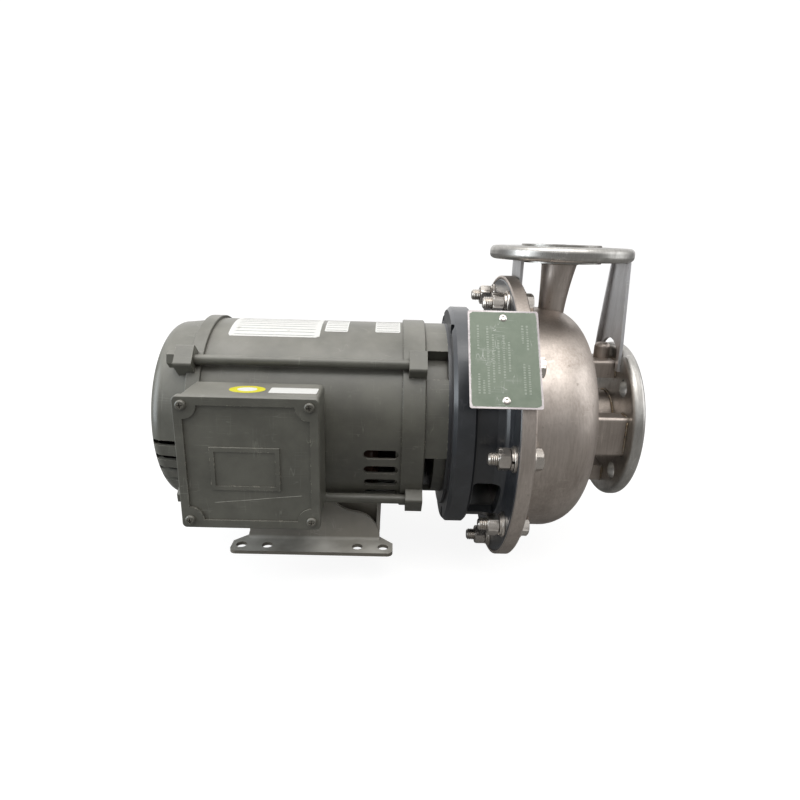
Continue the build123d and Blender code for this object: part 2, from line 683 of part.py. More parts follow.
def pan_screws(spots, face_y, head_r, head, shank_r, shank, slot):
    """Round-headed cross-recess screws driven towards +Y at (x, z) spots on the plane y = face_y."""
    with BuildPart() as screws:
        with BuildSketch(Plane.XZ.offset(-face_y)):
            with Locations(*spots):
                Circle(head_r)
        extrude(amount=head)
        fillet(screws.edges().group_by(Axis.Y)[0], head * 0.7)
        with BuildSketch(Plane.XZ.offset(-face_y)):
            with Locations(*spots):
                Circle(shank_r)
        extrude(amount=-shank)
        with BuildSketch(Plane.XZ.offset(-face_y + head)):
            with Locations(*spots):
                Rectangle(head_r * 1.1, slot)
                Rectangle(slot, head_r * 1.1)
        extrude(amount=-head * 0.6, mode=Mode.SUBTRACT)
    return screws


lid_screws = pan_screws(box_screw_spots, box_face_y, 4.4, 2.6, lid_screw_d / 2,
                        lid_thickness + gasket_thickness + 12, 1.1)
save(lid_screws, "junction_box_screws")
mount_screws = pan_screws(box_mount_spots, box_back_y - box_wall, 5.0, 3.0, 3.0, box_wall - 0.1, 1.3)
save(mount_screws, "box_mounting_screws")

lead_pitch = 4.2
lead_r = 1.6
lead_spots = [(box_centre_x + i * lead_pitch, shaft_height + k * lead_pitch)
              for i in (-1, 0, 1) for k in (-1, 0, 1)]
grommet_out_y = box_back_y - box_wall
with BuildPart() as lead_grommet:
    with BuildSketch(Plane.XZ.offset(-box_back_y - 4)):
        with Locations((box_centre_x, shaft_height)):
            Circle(lead_hole_r - fit_gap)
        with Locations(*lead_spots):
            Circle(lead_r + fit_gap, mode=Mode.SUBTRACT)
    extrude(amount=box_wall + 4)
    with BuildSketch(Plane.XZ.offset(-grommet_out_y)):
        with Locations((box_centre_x, shaft_height)):
            Circle(lead_hole_r + 2.5)
        with Locations(*lead_spots):
            Circle(lead_r + fit_gap, mode=Mode.SUBTRACT)
    extrude(amount=2)
save(lead_grommet, "lead_grommet")

with BuildPart() as motor_leads:
    with BuildSketch(Plane.XZ.offset(-box_back_y - 5)):
        with Locations(*lead_spots):
            Circle(lead_r)
    extrude(amount=32)
    with BuildSketch(Plane.XZ.offset(-box_back_y + 18)):
        with Locations(*lead_spots):
            Circle(lead_r + 0.4)
    extrude(amount=12)
save(motor_leads, "motor_leads")

ground_x = box_centre_x + 34
ground_z = box_centre_z - 34
with BuildPart() as ground_screw:
    with BuildSketch(Plane.XZ.offset(-box_back_y + box_wall)):
        with Locations((ground_x, ground_z)):
            RegularPolygon(4.5, 6, major_radius=False)
    extrude(amount=4)
    chamfer(ground_screw.edges().group_by(Axis.Y)[0], 0.5)
save(ground_screw, "ground_screw")

# ---------------------------------------------------------------- adapter
ring_start_x = c_face_x + adapter_ring_setback
ring_end_x = ring_start_x + adapter_ring_width
adapter_bore_r = rabbet_r + fit_gap * 2
rabbet_seat_x = c_face_x + rabbet_height + 0.2
plate_end_x = c_face_x + adapter_plate
drum_bore_r = adapter_drum_r - adapter_wall
adapter_rim_r = casing_rim_r - casing_rim_lip - 0.5
pocket_d = 14.0
with BuildPart() as adapter:
    revolve(outline((rabbet_seat_x, 42), (plate_end_x, 42), (plate_end_x, drum_bore_r - 6),
                    (plate_end_x + 6, drum_bore_r), (adapter_back_x, drum_bore_r),
                    (adapter_back_x, adapter_rim_r), (adapter_flange_x + 1, adapter_rim_r),
                    (adapter_flange_x, adapter_rim_r - 1), (adapter_flange_x, adapter_drum_r + 10),
                    (adapter_flange_x - 2, adapter_drum_r + 5), (adapter_flange_x - 5.5, adapter_drum_r + 2),
                    (adapter_flange_x - adapter_flare, adapter_drum_r), (ring_end_x, adapter_drum_r),
                    (ring_end_x, adapter_ring_r - adapter_edge), (ring_end_x - adapter_edge, adapter_ring_r),
                    (ring_start_x + adapter_chamfer, adapter_ring_r),
                    (ring_start_x, adapter_ring_r - adapter_chamfer), (ring_start_x, pad_outer_r),
                    (c_face_x, pad_outer_r), (c_face_x, adapter_bore_r),
                    (rabbet_seat_x, adapter_bore_r)), axis=shaft_axis)
    fillet(adapter.edges().filter_by(GeomType.CIRCLE).filter_by_position(
        Axis.X, adapter_flange_x - 7, adapter_flange_x - 1), 3)
    # Access windows, low on both sides.
    for side_angle in window_angles:
        with BuildSketch(radial((plate_end_x + adapter_flange_x) / 2 + 4, side_angle, drum_bore_r - 30)):
            RectangleRounded(26, 56, 4)
        extrude(amount=adapter_wall + 40, mode=Mode.SUBTRACT)
    with BuildSketch(station(c_face_x - 1)):
        with PolarLocations(c_face_bolt_r, 4, 45):
            Circle(c_face_bolt_d / 2 + 0.4)
    extrude(amount=adapter_plate + 2, mode=Mode.SUBTRACT)
    with BuildSketch(station(ring_start_x)):
        with PolarLocations(adapter_ring_r - 8, 2, 65, 50, endpoint=True):
            Circle(pocket_d / 2)
        with PolarLocations(adapter_ring_r - 8, 2, 245, 50, endpoint=True):
            Circle(pocket_d / 2)
    extrude(amount=12, mode=Mode.SUBTRACT)
    with BuildSketch(station(adapter_flange_x - 1)):
        with PolarLocations(casing_bolt_circle_r, casing_bolts_count):
            Circle(casing_hole_d / 2)
    extrude(amount=adapter_flange + 2, mode=Mode.SUBTRACT)
save(adapter, "adapter")

with BuildPart() as adapter_screws:
    for angle in c_face_angles:
        with BuildSketch(station(plate_end_x)):
            with PolarLocations(c_face_bolt_r, 1, angle):
                RegularPolygon(14.3 / 2, 6, major_radius=False)
        extrude(amount=6)
        with BuildSketch(station(plate_end_x)):
            with PolarLocations(c_face_bolt_r, 1, angle):
                Circle(c_face_bolt_d / 2)
        extrude(amount=-adapter_plate - c_face_plate + 1)
save(adapter_screws, "adapter_cap_screws")

# ---------------------------------------------------------------- casing cover and its seals
casing_bore_r = casing_body_r - casing_wall
spigot_end_x = casing_joint_x + 9.5
hub_in_x = adapter_flange_x + 1.5
seal_chamber_x = casing_joint_x + 4.5
ring_groove_x = casing_joint_x + 3.5
ring_groove = 3.5
ring_section_r = 1.33
cover_spigot_r = casing_bore_r - 0.1
groove_floor_r = casing_bore_r - 2 * ring_section_r - 0.04
with BuildPart() as casing_cover:
    revolve(outline((adapter_back_x, seal_bore_r + 11), (adapter_back_x, adapter_rim_r),
                    (casing_joint_x, adapter_rim_r), (casing_joint_x, cover_spigot_r),
                    (ring_groove_x, cover_spigot_r), (ring_groove_x, groove_floor_r),
                    (ring_groove_x + ring_groove, groove_floor_r),
                    (ring_groove_x + ring_groove, cover_spigot_r),
                    (spigot_end_x - 1, cover_spigot_r), (spigot_end_x, cover_spigot_r - 1),
                    (spigot_end_x, cover_spigot_r - 8), (adapter_back_x + 4, cover_spigot_r - 12),
                    (adapter_back_x + 4, seal_bore_r + 16), (seal_chamber_x + 4, seal_bore_r + 11),
                    (seal_chamber_x + 4, seal_bore_r + 6), (seal_chamber_x, seal_bore_r + 6),
                    (seal_chamber_x, seal_bore_r), (hub_in_x + 2, seal_bore_r),
                    (hub_in_x + 2, sleeve_r + 1.2),
                    (hub_in_x, sleeve_r + 1.2), (hub_in_x, seal_bore_r + 11)), axis=shaft_axis)
    with BuildSketch(station(adapter_back_x - 1)):
        with PolarLocations(casing_bolt_circle_r, casing_bolts_count):
            Circle(casing_hole_d / 2)
    extrude(amount=cover_plate + 2, mode=Mode.SUBTRACT)
save(casing_cover, "casing_cover")

with BuildPart() as casing_o_ring:
    with BuildSketch(shaft_plane):
        with Locations((ring_groove_x + ring_groove / 2, groove_floor_r + ring_section_r + fit_gap)):
            Circle(ring_section_r)
    revolve(axis=shaft_axis)
save(casing_o_ring, "casing_o_ring")

# ---------------------------------------------------------------- pump casing
turn = radians(shoulder_sweep)
cone_slope = cos(turn) / sin(turn)


def casing_side(skin, end_r, from_x):
    """Profile of the casing's suction side, `skin` below the outer surface, down to end_r."""
    arc_r = shoulder_r - skin
    centre_r = casing_body_r - shoulder_r
    arc_end = (shoulder_start_x + arc_r * sin(turn), centre_r + arc_r * cos(turn))
    cone_end = (arc_end[0] + (arc_end[1] - end_r) * cone_slope, end_r)
    middle = (shoulder_start_x + arc_r * sin(turn / 2), centre_r + arc_r * cos(turn / 2))
    with BuildLine() as side:
        Line((from_x, casing_body_r - skin), (shoulder_start_x, casing_body_r - skin))
        ThreePointArc((shoulder_start_x, casing_body_r - skin), middle, arc_end)
        Line(arc_end, cone_end)
    return side.line


def casing_envelope():
    """Solid of the casing's outer shape, used to trim what is welded to it."""
    with BuildPart() as envelope:
        with BuildSketch(shaft_plane):
            with BuildLine():
                add(casing_side(0, suction_neck_r, casing_joint_x))
                tip = casing_side(0, suction_neck_r, casing_joint_x) @ 1
                Polyline(tip, (suction_back_x, suction_neck_r), (suction_back_x, 0), (casing_joint_x, 0),
                         (casing_joint_x, casing_body_r))
            make_face()
        revolve(axis=shaft_axis)
    return envelope.part


def discharge_passage():
    """Solid of the water's way from the chamber to the discharge flange."""
    with BuildPart() as passage:
        with BuildSketch(Plane.XY.offset(shaft_height + impeller_r + 8)):
            with Locations((nozzle_x - 1, 0)):
                Circle(nozzle_foot_r - 3.2)
        with BuildSketch(Plane.XY.offset(discharge_back_z - discharge_stub)):
            with Locations((discharge_x, 0)):
                Circle(discharge_bore_r)
        loft()
    return passage.part


nozzle_x = discharge_x - nozzle_foot_shift
root_fillet = casing_bolt_circle_r - casing_washer_r - casing_body_r - 0.3
nozzle_foot_z = shaft_height + casing_body_r - 9
envelope = casing_envelope()
with BuildPart() as pump_casing:
    add(envelope)
    # Flange whose rim is turned back over the adapter.
    revolve(outline((casing_joint_x, casing_body_r - 1), (casing_joint_x, casing_rim_r - casing_rim_lip),
                    (adapter_flange_x + 0.6, casing_rim_r - casing_rim_lip),
                    (adapter_flange_x + 0.2, casing_rim_r - casing_rim_lip / 2),
                    (adapter_flange_x + 0.9, casing_rim_r), (casing_flange_x - 1.5, casing_rim_r),
                    (casing_flange_x, casing_rim_r - 1.5), (casing_flange_x, casing_body_r - 1)),
            axis=shaft_axis)
    fillet(pump_casing.edges().filter_by(GeomType.CIRCLE).filter_by(
        lambda e: abs(e.radius - casing_body_r) < 0.01 and e.center().X < casing_flange_x + 0.5), root_fillet)
    # Inside: the chamber, the suction neck and the way out to the nozzle.
    with BuildSketch(shaft_plane):
        with BuildLine():
            inner_side = casing_side(casing_wall, neck_bore_r, casing_joint_x - 1)
            add(inner_side)
            Polyline(inner_side @ 1, (suction_back_x, neck_bore_r), (suction_back_x, 0),
                     (casing_joint_x - 1, 0), inner_side @ 0)
        make_face()
    revolve(axis=shaft_axis, mode=Mode.SUBTRACT)
    add(discharge_passage(), mode=Mode.SUBTRACT)
    with BuildSketch(station(casing_joint_x - 1)):
        with PolarLocations(casing_bolt_circle_r, casing_bolts_count):
            Circle(casing_hole_d / 2)
    extrude(amount=casing_flange + 2, mode=Mode.SUBTRACT)
    drain_x = (casing_flange_x + shoulder_start_x) / 2
    drain_shank_r = 6.5
    with BuildSketch(Plane.XY.offset(shaft_height - casing_body_r - 1)):
        with Locations((drain_x, 0)):
            Circle(drain_shank_r + fit_gap)
    extrude(amount=casing_wall + 2, mode=Mode.SUBTRACT)
save(pump_casing, "pump_casing")

# The nozzle widens and leans towards its flange, and stands on the casing.
with BuildPart() as discharge_nozzle:
    with BuildSketch(Plane.XY.offset(nozzle_foot_z)):
        with Locations((nozzle_x - 0.4, 0)):
            Circle(nozzle_foot_r - 0.2)
    with BuildSketch(Plane.XY.offset(shaft_height + casing_body_r + 8)):
        with Locations((nozzle_x + 0.5, 0)):
            Circle(nozzle_foot_r + 0.6)
    with BuildSketch(Plane.XY.offset(discharge_back_z - discharge_stub)):
        with Locations((discharge_x, 0)):
            Circle(nozzle_top_r)
    loft()
    add(envelope, mode=Mode.SUBTRACT)
    add(discharge_passage(), mode=Mode.SUBTRACT)
save(discharge_nozzle, "discharge_nozzle")

with BuildPart() as drain_plug:
    with BuildSketch(Plane.XY.offset(shaft_height - casing_body_r - 0.1)):
        with Locations((drain_x, 0)):
            RegularPolygon(8.5, 6, major_radius=False)
    extrude(amount=-6)
    chamfer(drain_plug.edges().group_by(Axis.Z)[0], 0.7)
    with BuildSketch(Plane.XY.offset(shaft_height - casing_body_r - 0.1)):
        with Locations((drain_x, 0)):
            Circle(drain_shank_r)
    extrude(amount=casing_wall + 1)
save(drain_plug, "drain_plug")

# ---------------------------------------------------------------- casing bolts
washer_x = casing_flange_x + casing_washer
spring_x = adapter_flange_x - casing_washer
nut_x = spring_x - spring_washer
bracket_bolt = 180 - plate_angle
with BuildPart() as casing_bolts:
    for angle in bolt_angles:
        with BuildSketch(station(washer_x)):
            with PolarLocations(casing_bolt_circle_r, 1, angle):
                RegularPolygon(casing_bolt_af / 2, 6, major_radius=False)
        extrude(amount=casing_head)
    chamfer(casing_bolts.edges().filter_by(GeomType.LINE).group_by(Axis.X)[-1], 0.8)
    with BuildSketch(station(washer_x)):
        with PolarLocations(casing_bolt_circle_r, casing_bolts_count):
            Circle(casing_bolt_d / 2)
    extrude(amount=nut_x - casing_nut - bolt_overhang - washer_x)
    chamfer(casing_bolts.edges().filter_by(GeomType.CIRCLE).group_by(Axis.X)[0], 1.0)
save(casing_bolts, "casing_bolts")

with BuildPart() as casing_nuts:
    for angle in bolt_angles:
        with BuildSketch(station(nut_x)):
            with PolarLocations(casing_bolt_circle_r, 1, angle):
                RegularPolygon(casing_bolt_af / 2, 6, major_radius=False)
        extrude(amount=-casing_nut)
    chamfer(casing_nuts.edges().filter_by(GeomType.LINE).group_by(Axis.X)[0], 0.8)
    with BuildSketch(station(nut_x + 1)):
        with PolarLocations(casing_bolt_circle_r, casing_bolts_count):
            Circle(casing_bolt_d / 2 + fit_gap)
    extrude(amount=-casing_nut - 2, mode=Mode.SUBTRACT)
save(casing_nuts, "casing_nuts")

with BuildPart() as casing_washers:
    with BuildSketch(station(casing_flange_x)):
        with PolarLocations(casing_bolt_circle_r, casing_bolts_count):
            Circle(casing_washer_r)
            Circle(casing_bolt_d / 2 + 0.3, mode=Mode.SUBTRACT)
    extrude(amount=casing_washer)
    # The plate's bracket takes the place of one washer on the motor side.
    with BuildSketch(station(adapter_flange_x)):
        for angle in bolt_angles:
            if abs(angle - bracket_bolt) > 1:
                with PolarLocations(casing_bolt_circle_r, 1, angle):
                    Circle(casing_washer_r)
                    Circle(casing_bolt_d / 2 + 0.3, mode=Mode.SUBTRACT)
    extrude(amount=-casing_washer)
    with BuildSketch(station(spring_x)):
        with PolarLocations(casing_bolt_circle_r, casing_bolts_count):
            Circle(spring_washer_r)
            Circle(casing_bolt_d / 2 + 0.3, mode=Mode.SUBTRACT)
    extrude(amount=-spring_washer)
save(casing_washers, "casing_washers")

# ---------------------------------------------------------------- pipe flanges, stays and struts
with BuildPart() as suction_flange:
    with BuildSketch(station(suction_back_x)):
        Circle(suction_flange_r)
    extrude(amount=flange_thickness)
    fillet(suction_flange.edges().filter_by(GeomType.CIRCLE), rim_round)
    with BuildSketch(station(suction_face_x - raised_face)):
        Circle(suction_raised_r)
    extrude(amount=raised_face)
    with BuildSketch(station(suction_back_x)):
        Circle(suction_bore_r)
        with PolarLocations(suction_pcd / 2, 4, 45):
            Circle(flange_hole_d / 2)
    extrude(amount=flange_thickness + raised_face, mode=Mode.SUBTRACT)
save(suction_flange, "suction_flange")

with BuildPart() as discharge_flange:
    with BuildSketch(Plane.XY.offset(discharge_back_z)):
        with Locations((discharge_x, 0)):
            Circle(discharge_flange_r)
    extrude(amount=flange_thickness)
    fillet(discharge_flange.edges().filter_by(GeomType.CIRCLE), rim_round)
    with BuildSketch(Plane.XY.offset(discharge_face_z - raised_face)):
        with Locations((discharge_x, 0)):
            Circle(discharge_raised_r)
    extrude(amount=raised_face)
    with BuildSketch(Plane.XY.offset(discharge_back_z)):
        with Locations((discharge_x, 0)):
            Circle(discharge_stub_r)
    extrude(amount=-discharge_stub)
    with BuildSketch(Plane.XY.offset(discharge_back_z - discharge_stub)):
        with Locations((discharge_x, 0)):
            Circle(discharge_bore_r)
            with PolarLocations(discharge_pcd / 2, 4, 45):
                Circle(flange_hole_d / 2)
    extrude(amount=flange_thickness + raised_face + discharge_stub, mode=Mode.SUBTRACT)
save(discharge_flange, "discharge_flange")

with BuildPart() as suction_stays:
    with BuildSketch(station(suction_back_x)):
        with PolarLocations(stay_outer_r - stay_thickness / 2, 4):
            Rectangle(stay_thickness, stay_width)
    extrude(amount=-(suction_back_x - shoulder_start_x))
    fillet(suction_stays.edges().filter_by(Axis.X).filter_by(
        lambda e: sqrt(e.center().Y ** 2 + (e.center().Z - shaft_height) ** 2) > stay_outer_r), 3.5)
    add(envelope, mode=Mode.SUBTRACT)
save(suction_stays, "suction_stays")

with BuildPart() as left_strut:
    with BuildSketch(Plane.YZ.offset(casing_flange_x)):
        with Locations((0, shaft_height + casing_body_r)):
            Rectangle(2 * left_strut_half, discharge_back_z - shaft_height - casing_body_r + 12,
                      align=(Align.CENTER, Align.MIN))
    extrude(amount=strut_plate)
    with BuildSketch(Plane.XY.offset(discharge_back_z)):
        with Locations((discharge_x, 0)):
            Rectangle(2 * casing_rim_r, 2 * casing_rim_r)
    extrude(amount=60, mode=Mode.SUBTRACT)
    revolve(sleeve_outline(casing_flange_x - 1, casing_flange_x + strut_plate + 1, 0, casing_body_r + 3.3),
            axis=shaft_axis, mode=Mode.SUBTRACT)
save(left_strut, "discharge_strut_motor_side")

arch_z = shaft_height + right_strut_arch_z
leg_z = shaft_height + right_strut_leg_z
leg_in = right_strut_low_half - 5
strut_back_x = suction_back_x - strut_plate
with BuildPart() as right_strut:
    with BuildSketch(Plane.YZ.offset(strut_back_x)):
        with BuildLine():
            Polyline((-leg_in, arch_z - 12), (-leg_in, leg_z), (-right_strut_low_half - 2, leg_z),
                     (-right_strut_low_half - 1, arch_z), (-right_strut_top_half, discharge_back_z),
                     (right_strut_top_half, discharge_back_z), (right_strut_low_half + 1, arch_z),
                     (right_strut_low_half + 1, leg_z + 8), (leg_in, leg_z + 8), (leg_in, arch_z - 12))
            ThreePointArc((leg_in, arch_z - 12), (0, arch_z), (-leg_in, arch_z - 12))
        make_face()
    extrude(amount=strut_plate)
    # Stiffening lip along the far edge, folded towards the discharge nozzle.
    with BuildSketch(Plane.XZ.offset(-right_strut_low_half)):
        with BuildLine():
            Polyline((strut_back_x, leg_z + 8), (strut_back_x - strut_lip, leg_z + 8),
                     (strut_back_x - strut_lip, arch_z), (strut_back_x - strut_lip_top, discharge_back_z),
                     (strut_back_x, discharge_back_z), close=True)
        make_face()
    lip = extrude(amount=strut_plate, mode=Mode.PRIVATE)
    leg_rise = discharge_back_z - arch_z
    leg_spread = right_strut_low_half + 1 - right_strut_top_half
    lean = degrees(acos(leg_rise / sqrt(leg_rise ** 2 + leg_spread ** 2)))
    pivot = Axis((0, right_strut_low_half, arch_z), (1, 0, 0))
    add(lip.rotate(pivot, lean))
    with BuildSketch(Plane.XY.offset(discharge_back_z)):
        with Locations((discharge_x, 0)):
            Rectangle(2 * casing_rim_r, 2 * casing_rim_r)
    extrude(amount=60, mode=Mode.SUBTRACT)
    add(envelope, mode=Mode.SUBTRACT)
save(right_strut, "discharge_strut_suction_side")

plug_x = suction_back_x - 10.2
with BuildPart() as gauge_plug:
    with BuildSketch(Plane.XY.offset(shaft_height + stay_outer_r)):
        with Locations((plug_x, 0)):
            Circle(8)
    extrude(amount=16)
    fillet(gauge_plug.edges().group_by(Axis.Z)[-1], 5)
save(gauge_plug, "gauge_port_plug")

# ---------------------------------------------------------------- wear ring and impeller
wear_lip_x = shoulder_start_x + wear_ring_reach
wear_web_x = wear_lip_x + 14
with BuildPart() as wear_ring:
    revolve(outline((wear_lip_x, eye_r + wear_gap), (wear_web_x, eye_r + wear_gap),
                    (wear_web_x, suction_bore_r - 3), (wear_web_x + 19, suction_bore_r - 3),
                    (wear_web_x + 19, neck_bore_r - fit_gap), (wear_web_x + 6, neck_bore_r - fit_gap),
                    (wear_web_x + 3, eye_r + wear_gap), (wear_web_x + 3, eye_r + 3), (wear_lip_x, eye_r + 3)),
            axis=shaft_axis)
save(wear_ring, "wear_ring")

hub_r = 18.0
passage_x = impeller_back_x + shroud
tip_x = passage_x + outlet_width
eye_x = tip_x + 18
eye_end_x = wear_web_x - 1
hub_start_x = shaft_end_x - key_length - 2
with BuildPart() as vanes:
    with BuildSketch(station(passage_x - 1)):
        for i in range(vane_count):
            start = 360 / vane_count * i
            with BuildLine():
                ThreePointArc(
                    *[(r * cos(radians(start + a)), r * sin(radians(start + a)))
                      for r, a in ((hub_r + 9, 0), (58, -24), (impeller_r - 1, -62))])
            trace(line_width=3.5)
    extrude(amount=eye_x - passage_x + 4)
    revolve(outline((passage_x - 1, hub_r - 2), (passage_x - 1, impeller_r), (tip_x + 1, impeller_r),
                    (eye_x + 1, eye_r), (eye_x + 1, hub_r - 2)), axis=shaft_axis, mode=Mode.INTERSECT)
with BuildPart() as impeller:
    revolve(outline((hub_start_x, shaft_end_r + fit_gap), (shaft_end_x, shaft_end_r + fit_gap),
                    (shaft_end_x, hub_r - 3), (passage_x + 2, hub_r), (passage_x, hub_r + 4),
                    (passage_x, impeller_r), (impeller_back_x, impeller_r), (impeller_back_x, hub_r + 3),
                    (hub_start_x + 1, hub_r + 1), (hub_start_x, hub_r)), axis=shaft_axis)
    revolve(outline((tip_x, impeller_r), (tip_x + front_shroud, impeller_r), (eye_x + front_shroud, eye_r),
                    (eye_end_x, eye_r), (eye_end_x, eye_r - 3.5), (eye_x, eye_r - 3.5)), axis=shaft_axis)
    add(vanes)
    with BuildSketch(Plane.XY.offset(shaft_height)):
        with Locations((shaft_end_x - 1 - key_length / 2, 0)):
            Rectangle(key_length + 4, key_size + 2 * fit_gap)
    extrude(amount=shaft_end_r + key_size / 2 + fit_gap, mode=Mode.SUBTRACT)
save(impeller, "impeller")

with BuildPart() as impeller_key:
    with BuildSketch(Plane.XY.offset(shaft_height + shaft_end_r - key_size / 2 + fit_gap)):
        with Locations((shaft_end_x - 1 - key_length / 2, 0)):
            Rectangle(key_length - 2 * fit_gap, key_size - 2 * fit_gap)
    extrude(amount=key_size - 2 * fit_gap)
save(impeller_key, "impeller_key")

impeller_washer_t = 3.0
with BuildPart() as impeller_washer:
    revolve(sleeve_outline(shaft_end_x, shaft_end_x + impeller_washer_t, c_face_bolt_d / 2 + 0.3,
                           hub_r - 3.5), axis=shaft_axis)
save(impeller_washer, "impeller_washer")

with BuildPart() as impeller_screw:
    with BuildSketch(station(shaft_end_x + impeller_washer_t)):
        RegularPolygon(14.3 / 2, 6, major_radius=False)
    extrude(amount=6)
    chamfer(impeller_screw.edges().group_by(Axis.X)[-1], 0.6)
    with BuildSketch(station(shaft_end_x + impeller_washer_t)):
        Circle(c_face_bolt_d / 2)
    extrude(amount=-(impeller_washer_t + screw_hole_depth - 4))
save(impeller_screw, "impeller_screw")

with BuildPart() as shaft_sleeve:
    revolve(sleeve_outline(sleeve_start_x, hub_start_x, shaft_end_r + fit_gap, sleeve_r), axis=shaft_axis)
save(shaft_sleeve, "shaft_sleeve")

# ---------------------------------------------------------------- mechanical seal and slinger
seat_x = hub_in_x + 2
seal_face_x = seal_chamber_x + 0.6
with BuildPart() as seal_cup:
    revolve(outline((seat_x, sleeve_r + 2.4), (seat_x, seal_bore_r - fit_gap),
                    (seal_chamber_x, seal_bore_r - fit_gap), (seal_chamber_x, seal_bore_r - 1),
                    (seat_x + 1.5, seal_bore_r - 1), (seat_x + 1.5, sleeve_r + 2.4)), axis=shaft_axis)
save(seal_cup, "seal_seat_cup")

with BuildPart() as seal_seat:
    revolve(sleeve_outline(seat_x + 1.5, seal_face_x, sleeve_r + 0.5, seal_bore_r - 1 - fit_gap),
            axis=shaft_axis)
save(seal_seat, "seal_seat")

head_end_x = seal_face_x + 8
with BuildPart() as seal_head:
    revolve(outline((seal_face_x + slide_gap, sleeve_r + 0.6), (seal_face_x + slide_gap, sleeve_r + 2.2),
                    (seal_face_x + 2, sleeve_r + 4.5), (head_end_x, sleeve_r + 4.5),
                    (head_end_x, sleeve_r + fit_gap), (seal_face_x + 3, sleeve_r + fit_gap)), axis=shaft_axis)
save(seal_head, "seal_rotary_head")

bellows_folds = 4
fold = (hub_start_x - head_end_x) / bellows_folds
fold_points = [(head_end_x + fold * (i / 2), sleeve_r + (1.5 if i % 2 == 0 else 3.6))
               for i in range(2 * bellows_folds + 1)]
with BuildPart() as seal_bellows:
    revolve(outline((head_end_x, sleeve_r + fit_gap), *fold_points, (hub_start_x, sleeve_r + fit_gap)),
            axis=shaft_axis)
save(seal_bellows, "seal_bellows")

slinger_x = plate_end_x + 4
with BuildPart() as slinger:
    revolve(outline((slinger_x, shaft_nose_r + fit_gap), (slinger_x + 8, shaft_nose_r + fit_gap),
                    (slinger_x + 8, shaft_nose_r + 4), (slinger_x + 3, shaft_nose_r + 5),
                    (slinger_x + 1.5, slinger_r), (slinger_x, slinger_r)), axis=shaft_axis)
save(slinger, "slinger")

# ---------------------------------------------------------------- rating plate
plate_plane = Plane(origin=(plate_x, 0, shaft_height), x_dir=(1, 0, 0),
                    z_dir=(0, -cos(radians(plate_angle)), sin(radians(plate_angle))))
plate_face = Plane(origin=plate_plane.from_local_coords((0, -plate_drop, plate_stand_r)), x_dir=(1, 0, 0),
                   z_dir=plate_plane.z_dir)
rivet_spots = [(0, side * (plate_height / 2 - rivet_inset)) for side in (-1, 1)]
rivet_r = 1.6
with BuildPart() as nameplate:
    with BuildSketch(plate_face):
        RectangleRounded(plate_width, plate_height, plate_corner_r)
        with Locations(*rivet_spots):
            Circle(rivet_r + fit_gap, mode=Mode.SUBTRACT)
    extrude(amount=plate_thickness)
save(nameplate, "nameplate")

bracket_width = 22.0
foot_x = adapter_flange_x - bracket_sheet
with BuildPart() as bracket:
    # Foot under the casing nut, then an arm that turns back under the plate and carries a strip.
    with BuildSketch(station(foot_x)):
        with PolarLocations((casing_bolt_circle_r - 11 + plate_stand_r) / 2, 1, bracket_bolt):
            Rectangle(plate_stand_r - casing_bolt_circle_r + 11, bracket_width)
        with PolarLocations(casing_bolt_circle_r, 1, bracket_bolt):
            Circle(casing_bolt_d / 2 + 0.3, mode=Mode.SUBTRACT)
    extrude(amount=bracket_sheet)
    with BuildSketch(plate_face):
        with Locations(((foot_x + bracket_sheet + plate_x) / 2 - plate_x, plate_drop)):
            Rectangle(foot_x + bracket_sheet - plate_x, bracket_width)
        Rectangle(16, plate_height - 4)
        with Locations(*rivet_spots):
            Circle(rivet_r + fit_gap, mode=Mode.SUBTRACT)
    extrude(amount=-bracket_sheet)
save(bracket, "nameplate_bracket")

with BuildPart() as rivets:
    with BuildSketch(plate_face.offset(plate_thickness)):
        with Locations(*rivet_spots):
            Circle(3.3)
    extrude(amount=1.4)
    fillet(rivets.edges().filter_by(GeomType.CIRCLE).filter_by(
        lambda e: (e.center() - plate_face.origin).dot(plate_face.z_dir) > plate_thickness + 1), 1.0)
    with BuildSketch(plate_face.offset(plate_thickness)):
        with Locations(*rivet_spots):
            Circle(rivet_r)
    extrude(amount=-plate_thickness - bracket_sheet - 0.4)
save(rivets, "nameplate_rivets")
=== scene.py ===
"""Looks of the close-coupled centrifugal pump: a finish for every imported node, and its fine pieces."""

import logging
import math
import random
from dataclasses import dataclass
from enum import Enum
from typing import Callable, Iterable, Sequence

import bmesh
import bpy
from mathutils import Matrix, Vector

